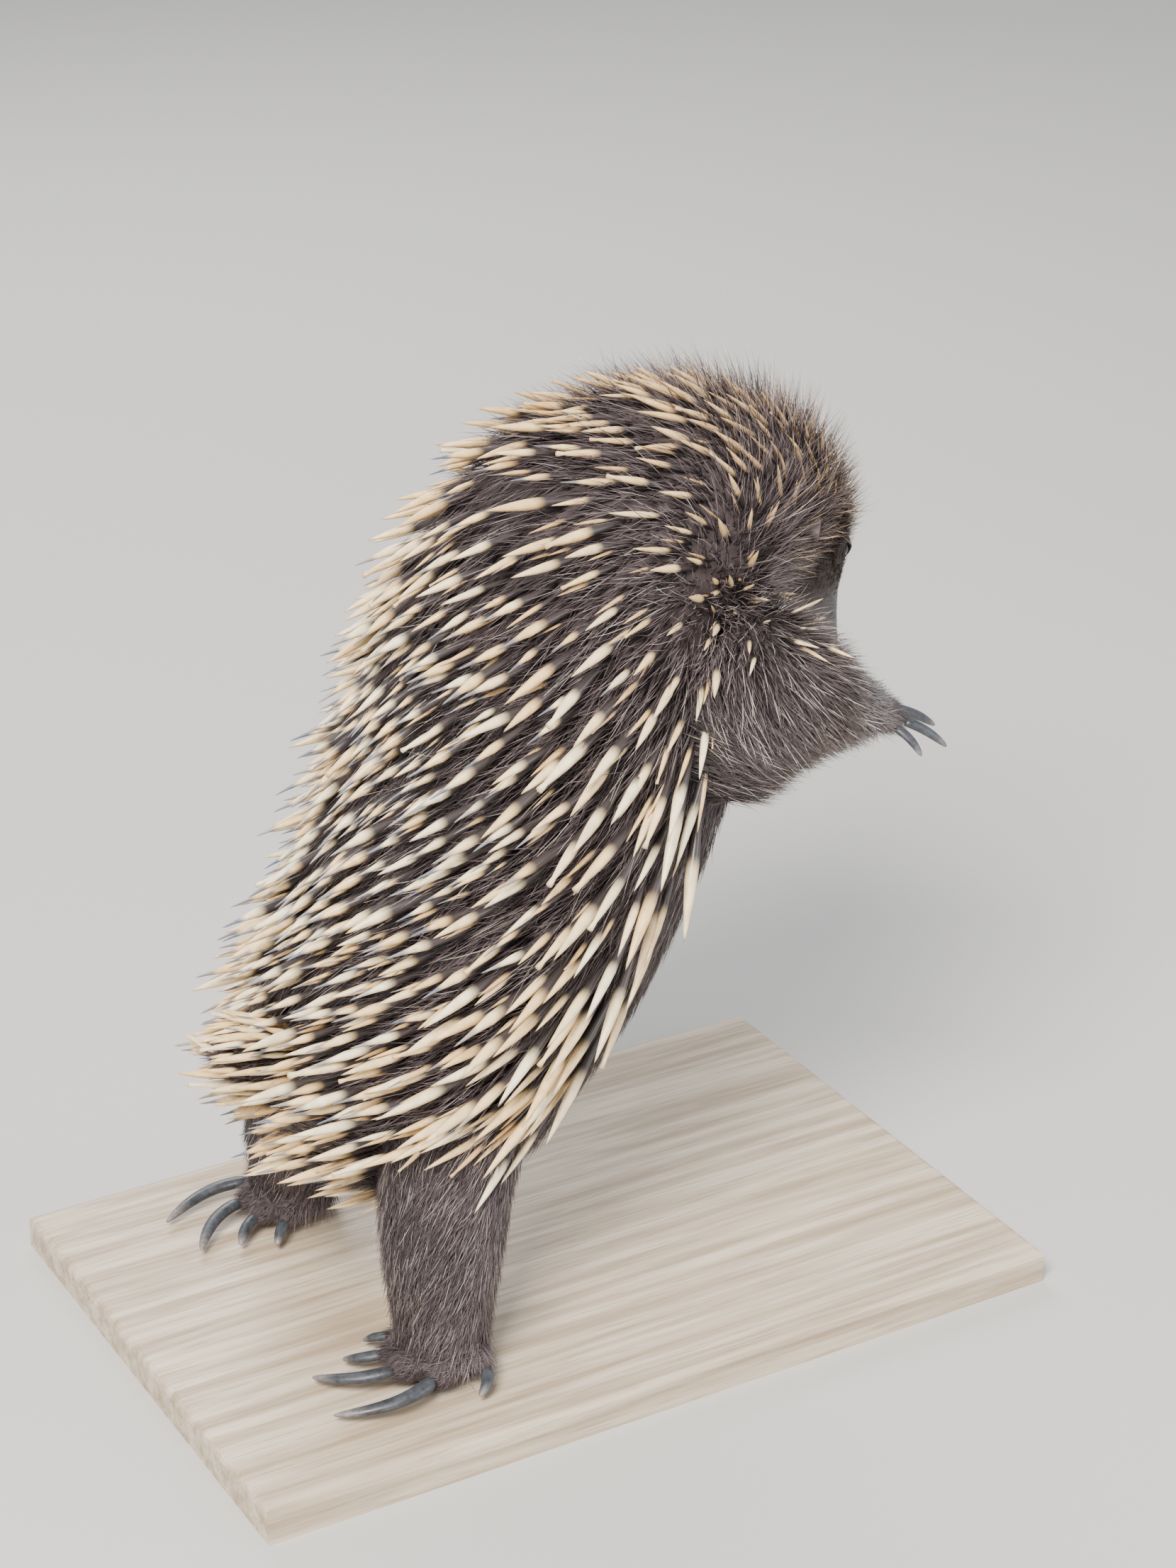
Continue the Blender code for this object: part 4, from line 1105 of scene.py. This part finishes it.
def lie_of(coat, trunk, s, turn, rng, loose=0.12):
    """The lie of the coat at each place: points, normals, flat directions and stand angles."""
    here, normal, to_start, to_back = trunk.surface(s, turn)
    cover, draw, stand_mid, stand_edge, *_ = rows_at(coat, trunk, s)
    edge = np.minimum(1, np.abs(turn) / np.radians(cover))
    draw = np.radians(draw) * np.sin(math.pi * edge * (1 - DRAWN_AT_EDGE)) ** DRAW_POWER
    draw *= np.clip((math.pi - np.abs(turn)) / PARTING, 0, 1)
    draw += rng.uniform(-loose, loose, len(s))
    flat = to_start * col(np.cos(draw)) + to_back * col(np.sin(draw))
    stand = np.radians(stand_mid + (stand_edge - stand_mid) * edge**3)
    flow = col(rump_flow(s, edge))
    direction = unit(raised(flat, normal, stand) * (1 - flow) + RUMP_FLOW * flow)
    flat = laid(direction, normal)
    stand = np.arcsin(np.clip(dot(direction, normal)[:, 0], LEAST_STAND, 1))
    flat, stand = whorled(here, normal, flat, stand)
    return here, normal, flat, stand, edge


def unwrapped(s, turn):
    """Where each root lies on its piece's unwrap, which is the skin's length by its turn."""
    places = np.stack([s, turn], -1)
    low, high = places.min(axis=0), places.max(axis=0)
    return UNWRAP_MARGIN + (1 - 2 * UNWRAP_MARGIN) * (places - low) / (high - low)


def strands(name, material, slot, roots, directions, normals, lengths, radii, unwrap, profile,
            values, sides=3, droop=0.0, wave=0.0, flatness=1.0, blunt=None, patch_size=PATCH):
    """One piece of closed, tapered strands. droop bends their tips towards the skin, and wave
    bends them to the side. values are kept with every strand."""
    count = len(roots)
    rings = len(profile)
    side = unit(np.cross(directions, normals))
    up = np.cross(side, directions)
    t = np.array([row[0] for row in profile] + [1.0])
    sizes = np.array([row[1] for row in profile])[None, :]
    if "needle" in values:
        needle = np.array([row[2] for row in profile])[None, :]
        sizes = sizes + (needle - sizes) * col(values["needle"])
    bend = -up * col(droop * lengths) + side * col(np.asarray(wave) * lengths)
    centre = (
        roots[:, None, :]
        + directions[:, None, :] * (lengths[:, None, None] * t[None, :, None])
        + bend[:, None, :] * (t**2)[None, :, None]
    )
    around = circle(sides)
    across = (
        side[:, None, :] * np.cos(around)[None, :, None]
        + up[:, None, :] * (np.sin(around) * flatness)[None, :, None]
    )
    radius = radii[:, None] * sizes
    if blunt is not None:
        tips = centre[:, -2] + directions * col(radii * BLUNT_ROUNDING)
        radius[:, -1] = np.where(blunt, radii * BLUNT_WIDTH, radius[:, -1])
        centre[:, -1] = np.where(col(blunt), tips, centre[:, -1])
    shell = centre[:, :rings, None, :] + across[:, None] * radius[:, :, None, None]
    points = np.concatenate([shell.reshape(count, -1, 3), centre[:, rings:]], axis=1)
    per = rings * sides + 1

    # One strand's faces. A corner is a vertex, its place round the strand and its place along it.
    faces = []
    for ring in range(rings):
        for k in range(sides):
            a, b, low, high = ring * sides + k, ring * sides + (k + 1) % sides, t[ring], t[ring + 1]
            if ring < rings - 1:
                ends = [(a + sides, k, high), (b + sides, k + 1, high)]
            else:
                ends = [(per - 1, k + 0.5, high)]
            faces.append([(a, k, low), *ends, (b, k + 1, low)])
    faces.append([(k, k, 0.0) for k in range(sides)])
    corners, turns, lows = np.array([corner for face in faces for corner in face]).T
    starts = np.cumsum([0] + [len(face) for face in faces[:-1]])

    loops = (corners[None, :] + (np.arange(count) * per)[:, None]).ravel()
    firsts = (starts[None, :] + (np.arange(count) * len(corners))[:, None]).ravel()
    patch = np.stack([turns / sides - 0.5, lows - 0.5], -1) * patch_size
    uv = unwrap[:, None, :] + patch[None]

    mesh = bpy.data.meshes.new(name)
    mesh.vertices.add(count * per)
    mesh.vertices.foreach_set("co", points.astype(np.float32).ravel())
    mesh.loops.add(len(loops))
    mesh.loops.foreach_set("vertex_index", loops.astype(np.int32))
    mesh.polygons.add(len(firsts))
    mesh.polygons.foreach_set("loop_start", firsts.astype(np.int32))
    mesh.uv_layers.new(name="OFBake").uv.foreach_set("vector", uv.astype(np.float32).ravel())
    mesh.update(calc_edges=True)
    obj = linked(name, mesh)
    keep_values(obj, "along", np.tile(np.append(np.repeat(t[:rings], sides), 1), count))
    for key, value in values.items():
        keep_values(obj, key, np.repeat(value, per))
    finished(obj, material, slot)


def on_skin(tree, points, reach):
    """The nearest places and normals on the skin, and which points lie within reach of it."""
    places = np.empty_like(points)
    normals = np.empty_like(points)
    keep = np.zeros(len(points), bool)
    for i, point in enumerate(points):
        near_place, normal, _, distance = tree.find_nearest(point)
        places[i], normals[i] = near_place, normal
        keep[i] = distance < reach
    for place, radius in bare_places:
        keep &= np.linalg.norm(places - np.array(place), axis=1) > radius
    return places, normals, keep


def is_free(tree, points, reach):
    """Whether each point keeps reach from the skin, on its outer side."""
    for point in points:
        near_place, normal, _, distance = tree.find_nearest(point)
        if distance < reach or (Vector(point) - near_place).dot(normal) < 0:
            return False
    return True


def make_spines(name, coat, form, tree, places, rng, material, slim=False):
    """Stout spines with their tips where the solids have them, raised clear of the skin, or the
    slimmer ones between them."""
    s, turn = places
    if slim:
        keep = rng.random(len(s)) < np.interp(s, (RUMP_FLOW_FULL, RUMP_FLOW_END), SLIM_SHARE)
        s, turn = s[keep], turn[keep]
    here, normal, flat, stand, edge = lie_of(coat, form, s, turn, rng)
    *_, long_mid, long_edge, thickness, _, dark, needle = rows_at(coat, form, s)
    stand = stand + rng.uniform(-SPINE_STRAY_STAND, SPINE_STRAY_STAND, len(s))
    size = rng.uniform(*SPINE_SIZES, len(s))
    length = (long_mid + (long_edge - long_mid) * edge) * size * MM
    radius = thickness / 2 * size * rng.uniform(*SPINE_RADII, len(s)) * MM
    for _, share in from_whorls(here):
        length = length * (1 - WHORL_SHORTER * share)
        radius = radius * (1 - WHORL_THINNER * share)
    if slim:
        length, radius = length * SLIM_LENGTH, radius * SLIM_THICKNESS
    roots, directions, keep = [], [], []
    for i in range(len(s)):
        ok = False
        for lift in SPINE_LIFTS:
            angle = min(stand[i] + lift, math.pi / 2)
            direction = flat[i] * math.cos(angle) + normal[i] * math.sin(angle)
            tests = here[i] + direction * length[i] * SPINE_TESTS
            if tests[:, 2].min() > BASE_TOP + MM and is_free(tree, tests, SPINE_CLEARANCE):
                ok = True
                break
        sink = SPINE_SINK / max(STEEPEST_SINK, float(np.dot(direction, normal[i])))
        roots.append(here[i] - direction * sink)
        directions.append(direction)
        length[i] += sink
        keep.append(ok)
    keep = np.array(keep)
    roots, directions = np.array(roots), np.array(directions)
    count = int(keep.sum())
    edge = edge[keep]
    needles = 1 - share_of(edge, NEEDLES_ALL, NEEDLES_NONE)
    # The head's spines are tan, and the slim ones take darker, browner tones than the stout:
    # painted shade for their lying half buried in the fur.
    on_body = np.ones(count)
    if "nape" in coat:
        on_body = share_of(s[keep], form.at["occiput"], form.at["chest"])
    shade = rng.uniform(*(SLIM_SHADED_TONES if slim else STOUT_SHADES), count)
    dark = dark[keep] + (np.minimum(dark[keep], DARK_ROOT_AT_EDGE) - dark[keep]) * edge**2
    values = {
        "shade": shade * (HEAD_SHADE + (1 - HEAD_SHADE) * on_body),
        "dark_root": dark + rng.normal(0, DARK_ROOT_STRAY, count),
        "needle": (rng.random(count) < needles * needle[keep]) * rng.uniform(*NEEDLE_SIZES, count),
    }
    blunt = (rng.random(count) < SPINE_BLUNT_SHARE) & (values["needle"] == 0)
    strands(
        name, material, "spiny_coat", roots[keep], directions[keep], normal[keep], length[keep],
        radius[keep], unwrapped(s, turn)[keep], SPINE_PROFILE, values, sides=5 if slim else 7,
        droop=SPINE_DROOP, wave=rng.normal(0, SPINE_WAVE, count), blunt=blunt,
        patch_size=SPINE_PATCH,
    )


def whorl_spines(tree, rng, material):
    """Short spines that stand round the shoulders' whorls."""
    sides = []
    count = WHORL_SPINES
    for side in SIDES.values():
        middle, out, *_ = tree.find_nearest(whorl_middle(side))
        across = out.orthogonal().normalized()
        up = np.array(out.cross(across))
        turn = GOLDEN_TURN * np.arange(count) + rng.uniform(-0.5, 0.5, count)
        share = np.sqrt((np.arange(count) + rng.random(count)) / count)
        away = np.array(across) * col(np.cos(turn)) + up * col(np.sin(turn))
        distance = between(WHORL_RING, share)
        places = np.array(middle) + away * col(distance)
        roots, normals, keep = on_skin(tree, places, WHORL_OFF_SKIN)
        away = away + np.cross(normals, away) * col(rng.normal(0, WHORL_STRAY_ROUND, count))
        stray = rng.uniform(-WHORL_STRAY_STAND, WHORL_STRAY_STAND, count)
        stand = between(WHORL_SPINE_STAND, share) + stray
        direction = raised(laid(away, normals), normals, stand)
        size = rng.random(count)
        sides.append([part[keep] for part in (
            roots - direction * STRAND_SINK, direction, normals,
            between(WHORL_SPINE_LENGTH, size), between(WHORL_SPINE_RADIUS, size), side * distance,
        )])
    *shape, place = map(np.concatenate, zip(*sides))
    count = len(place)
    values = {
        "shade": rng.uniform(*WHORL_SHADES, count),
        "dark_root": rng.uniform(*WHORL_DARK_ROOTS, count),
        "needle": np.zeros(count),
    }
    unwrap = unwrapped(place, rng.random(count))
    strands("spines_whorls", material, "spiny_coat", *shape, unwrap, SPINE_PROFILE, values,
            sides=6, wave=rng.normal(0, SPINE_WAVE, count), patch_size=SPINE_PATCH)


def scattered(trunk, rng, density, start, end, low=-math.pi, high=math.pi):
    """Random places on a trunk, so many for each square millimetre."""
    grid = np.linspace(start, end, SCATTER_STEPS)
    half, over, under = trunk.sizes(grid).T
    mean = (half + (over + under) / 2) / 2
    arcs = mean * (high - low) * np.sqrt(1 + np.gradient(mean, grid) ** 2)
    sums = np.concatenate([[0], np.cumsum((arcs[1:] + arcs[:-1]) / 2 * np.diff(grid))])
    count = int(density * sums[-1] / MM**2)
    s = np.interp(rng.random(count) * sums[-1], sums, grid)
    return s, rng.uniform(low, high, count)


def make_fur(name, here, places, tree, rng, material, length, stand, radius, flat,
             profile=FUR_PROFILE, droop=0.15, loose=0.2):
    """Fine tufts over the skin that lie along the coat."""
    s, turn = places
    roots, normals, keep = on_skin(tree, here, FUR_OFF_SKIN)
    side = unit(np.cross(flat, normals)) * col(rng.normal(0, loose, len(s)))
    flat = unit(laid(flat, normals) + side)
    directions = raised(flat, normals, stand * rng.uniform(*FUR_STANDS, len(s)))
    lengths = length * rng.uniform(*FUR_LENGTHS, len(s)) * MM
    radii = radius * rng.uniform(*FUR_RADII, len(s)) * MM
    tips = roots + directions * col(lengths)
    keep &= (tips[:, 2] > BASE_TOP + FUR_OFF_BASE) & (lengths > SHORTEST_FUR)
    roots = roots - directions * STRAND_SINK
    count = int(keep.sum())
    strands(
        name, material, "fur", roots[keep], directions[keep], normals[keep], lengths[keep],
        radii[keep], unwrapped(s, turn)[keep], profile, {"shade": rng.random(count)}, droop=droop,
        wave=rng.normal(0, FUR_WAVE, count), flatness=FUR_FLATNESS,
    )


def body_fur(name, body, tree, rng, material, density, low, high, start, end, radius, scale=1.0,
             **more):
    """Fur on a stretch of the body, between two turns on both sides."""
    s, turn = scattered(body, rng, density, start, end, low, high)
    turn = turn * rng.choice([-1, 1], len(turn))
    here, normal, flat, _, _ = lie_of(COAT, body, s, turn, rng, 0.1)
    long_back, long_belly, stand_back, stand_belly = rows_at(BODY_FUR, body, s)
    share = np.interp(np.abs(turn), BELLY_TURN, (0, 1))
    length = (long_back + (long_belly - long_back) * share) * scale
    stand = np.radians(stand_back + (stand_belly - stand_back) * share)
    _, stand = whorled(here, normal, flat, stand)
    make_fur(name, here, (s, turn), tree, rng, material, length, stand, radius, flat, **more)


def limb_fur(name, trunk, tree, rng, material, density, length, stand, sweep, radius, **more):
    """Fur down a limb, its length and stand changing on the way, and swept round it."""
    s, turn = scattered(trunk, rng, density, 0, trunk.length)
    here, normal, to_start, to_back = trunk.surface(s, turn)
    swept = sweep * np.sin(turn) ** 2
    flat = -to_start * col(np.cos(swept)) + to_back * col(np.sin(swept))
    share = s / trunk.length
    length, stand = (np.interp(share, LIMB_CHANGE, ends) for ends in (length, stand))
    flat, stand = whorled(here, normal, flat, np.radians(stand))
    make_fur(name, here, (s, turn), tree, rng, material, length, stand, radius, flat, **more)


def toe_fur(name, toes, tree, rng, material, density, length, stand, radius):
    """Short fur over the toes, up to where the claws come out."""
    here, flat, s, turn = [], [], [], []
    for i, (start, end, half) in enumerate(toes):
        ahead = (end - start).normalized()
        across = ahead.orthogonal().normalized()
        up = ahead.cross(across)
        reach = (end - start).length
        for _ in range(int(density * 2 * math.pi * half * reach / MM**2)):
            share, angle = rng.uniform(*TOE_FUR_SPAN), rng.uniform(-math.pi, math.pi)
            out = across * math.cos(angle) + up * math.sin(angle)
            here.append(start + ahead * reach * share + out * half)
            flat.append(ahead)
            s.append(i + TOE_UNWRAP * share)
            turn.append(angle)
    here, flat = np.array(here), np.array(flat)
    make_fur(name, here, (np.array(s), np.array(turn)), tree, rng, material, length,
             math.radians(stand), radius, flat, profile=SHORT_PROFILE)


# The scene round the animal

def make_stage():
    """A pale floor under a white sky."""
    bpy.ops.mesh.primitive_plane_add(size=FLOOR_SIZE, location=(0, 0, 0))
    floor = bpy.context.object
    floor.name = "floor"
    material, _, shader = new_material("pale_floor", 0.8)
    shader.inputs["Base Color"].default_value = FLOOR_GREY
    floor.data.materials.append(material)
    world = bpy.data.worlds.new("studio")
    world.use_nodes = True
    sky = world.node_tree.nodes["Background"]
    sky.inputs["Color"].default_value = SKY_COLOUR
    sky.inputs["Strength"].default_value = SKY_STRENGTH
    bpy.context.scene.world = world


def add_lamp(name, place, size, power, colour):
    bpy.ops.object.light_add(type="AREA", location=place)
    lamp = bpy.context.object
    lamp.name = name
    lamp.data.size = size
    lamp.data.energy = power
    lamp.data.color = colour
    lamp.rotation_euler = (AIM - Vector(place)).to_track_quat("-Z", "Y").to_euler()


def make_camera():
    back = Vector((
        math.sin(CAMERA_AZIMUTH) * math.cos(CAMERA_ELEVATION),
        -math.cos(CAMERA_AZIMUTH) * math.cos(CAMERA_ELEVATION),
        math.sin(CAMERA_ELEVATION),
    ))
    camera = linked("camera", bpy.data.cameras.new("camera"))
    camera.location = AIM + back * CAMERA_DISTANCE
    camera.rotation_euler = (-back).to_track_quat("-Z", "Y").to_euler()
    camera.data.sensor_width = SENSOR
    camera.data.lens = SENSOR * FOCAL_PX / PHOTO_HEIGHT_PX
    camera.data.clip_start = CAMERA_NEAR
    bpy.context.scene.camera = camera


# Places that the materials and the coat use.
BASE_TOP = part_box("stand_base")[1].z
FACE_MIDDLE = standing(178, 9, 236)
BEAK_MIDDLE = standing(199, 17.5, 191)
ARMS_MIDDLE = standing(165, 0, 200)
PALMS = (standing(168, -50, 203), standing(165, 57, 193))

make_camera()
make_stage()
for name, values in LAMPS.items():
    add_lamp(name, *values)

markings = markings_group()
strand = strand_group()
skin_finish = skin_material(markings)
fur_finish = fur_material("fur", markings, strand)
pale_finish = fur_material("pale_hair", markings, strand, PALE_HAIR)
tan_finish = fur_material("tan_hair", markings, strand, TAN_HAIR)
spine_finish = spine_material()
ear_finish = ear_material()
eye_finish = eye_material()

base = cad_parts["stand_base"]
base.data.materials.clear()
base.data.materials.append(board_material())

form = Trunk("body", BODY_STATIONS, (-1, 0, 0), (RUMP_ROUNDING, BEAK_ROUNDING), skin=False)
trunks = {"body": Trunk("body", BODY_STATIONS, (-1, 0, 0), (RUMP_ROUNDING, BEAK_ROUNDING))}
trunks["tail"] = Trunk("tail", TAIL_STATIONS, (-1, 0, 1), (TAIL_ROUNDING, 0))
for key, side in SIDES.items():
    for name, stations, back, rounding in (
        ("hindleg", HIND_LEG_STATIONS, (-1, 0, 0), (0, 0)),
        ("hindfoot", HIND_FOOT_STATIONS, (0, 0, 1), (FOOT_ROUNDING, FOOT_ROUNDING)),
        ("foreleg", FORELEG_STATIONS[key], (0, 0, 1), (0, PAW_ROUNDING)),
    ):
        name = f"{name}_{key}"
        trunks[name] = Trunk(name, stations, back, rounding, side)
body = trunks["body"]

toes = all_toes(trunks)
skin = make_skin(trunks, toes, skin_finish)
for key, side in SIDES.items():
    make_eye(f"eye_{key}", side, form, eye_finish, skin_finish)
    make_ear(f"ear_{key}", side, form, ear_finish)
feet = [Vector(trunks[f"{limb}_{key}"].table[-1][:3]) for limb in ("hindleg", "foreleg")
        for key in SIDES]
make_claws(claw_material(), feet)

skin_tree = BVHTree.FromObject(skin, bpy.context.evaluated_depsgraph_get())
rng = np.random.default_rng(SEED)

for kind, slim, end in (("stout", False, form.at["brow"]), ("slim", True, form.at["nape"])):
    s, turn = spine_places(COAT, form, SPINES_START, end, rng)
    for name, part in (
        ("low", s < form.at["waist"]),
        ("middle", (s >= form.at["waist"]) & (s < form.at["chest"])),
        ("high", s >= form.at["chest"]),
    ):
        make_spines(f"spines_{kind}_{name}", COAT, form, skin_tree, (s[part], turn[part]), rng,
                    spine_finish, slim)
tail_form = Trunk("tail", TAIL_STATIONS, (-1, 0, 1), (TAIL_ROUNDING, 0), skin=False)
start, end = TAIL_SPINES
places = spine_places(TAIL_COAT, tail_form, start, tail_form.length - end, rng)
make_spines("spines_tail", TAIL_COAT, tail_form, skin_tree, places, rng, spine_finish)
whorl_spines(skin_tree, rng, spine_finish)

# In the rows of fur below, density is tufts for each square millimetre, start and end are lengths
# from the rump, and a tuft's length and radius are in millimetres.
tail = trunks["tail"]
density, start, length, radius, loose = 1.1, 0.3 * MM, 10, 0.2, 0.15
s, turn = scattered(tail, rng, density, start, tail.length)
here, _, flat, stand, _ = lie_of(TAIL_COAT, tail, s, turn, rng, loose)
make_fur("fur_tail", here, (s, turn), skin_tree, rng, fur_finish, length, stand, radius, flat)

at = body.at
# The turns from the middle of the back between which the fur grows.
BACK = (0, 2.0)
LOW = (1.9, math.pi)
ROUND = (0, math.pi)
face_end = at["beak root"] + 8 * MM
pale = {"profile": HAIR_PROFILE, "loose": 0.1}
for name, finish, density, turns, start, end, radius, more in (
    ("fur_rump", fur_finish, 0.85, BACK, 0.4 * MM, at["waist"], 0.23, {}),
    ("fur_back", fur_finish, 0.9, BACK, at["waist"], at["chest"], 0.23, {}),
    ("fur_shoulders", fur_finish, 0.95, BACK, at["chest"], at["nape"], 0.21, {}),
    ("fur_belly", fur_finish, 0.85, LOW, 0.4 * MM, at["nape"], 0.22, {}),
    ("fur_head", fur_finish, 1.35, ROUND, at["nape"], at["brow"], 0.18, {}),
    ("fur_face", fur_finish, 3.6, ROUND, at["brow"], face_end, 0.13, {"profile": SHORT_PROFILE}),
    ("hair_back", pale_finish, 0.07, BACK, 2 * MM, at["nape"], 0.11, {"scale": 1.2, **pale}),
    ("hair_belly", pale_finish, 0.06, LOW, 2 * MM, at["nape"], 0.12, {"scale": 1.1, **pale}),
    ("hair_head", tan_finish, 0.14, ROUND, at["nape"], at["brow"], 0.2, {"scale": 1.05, **pale}),
):
    body_fur(name, body, skin_tree, rng, finish, density, *turns, start, end, radius, **more)
for key in SIDES:
    for name, limb, finish, density, length, stand, sweep, radius, more in (
        ("fur", "hindleg", fur_finish, 1.6, (9, 10), (20, 30), 0.55, 0.15, {}),
        ("fur", "hindfoot", fur_finish, 1.6, (6, 6), (26, 28), 0, 0.14, {}),
        ("fur", "foreleg", fur_finish, 1.15, (14.5, 8), (27, 38), -0.4, 0.18, {}),
        ("hair", "hindleg", pale_finish, 0.13, (12, 11), (20, 28), 0.55, 0.07, pale),
        ("hair", "foreleg", pale_finish, 0.13, (17.5, 9), (28, 34), -0.4, 0.13, pale),
    ):
        limb_fur(f"{name}_{limb}_{key}", trunks[f"{limb}_{key}"], skin_tree, rng, finish, density,
                 length, stand, sweep, radius, **more)
density, length, stand, radius = 3.4, 5.5, 27, 0.13
toe_fur("fur_toes", toes, skin_tree, rng, fur_finish, density, length, stand, radius)
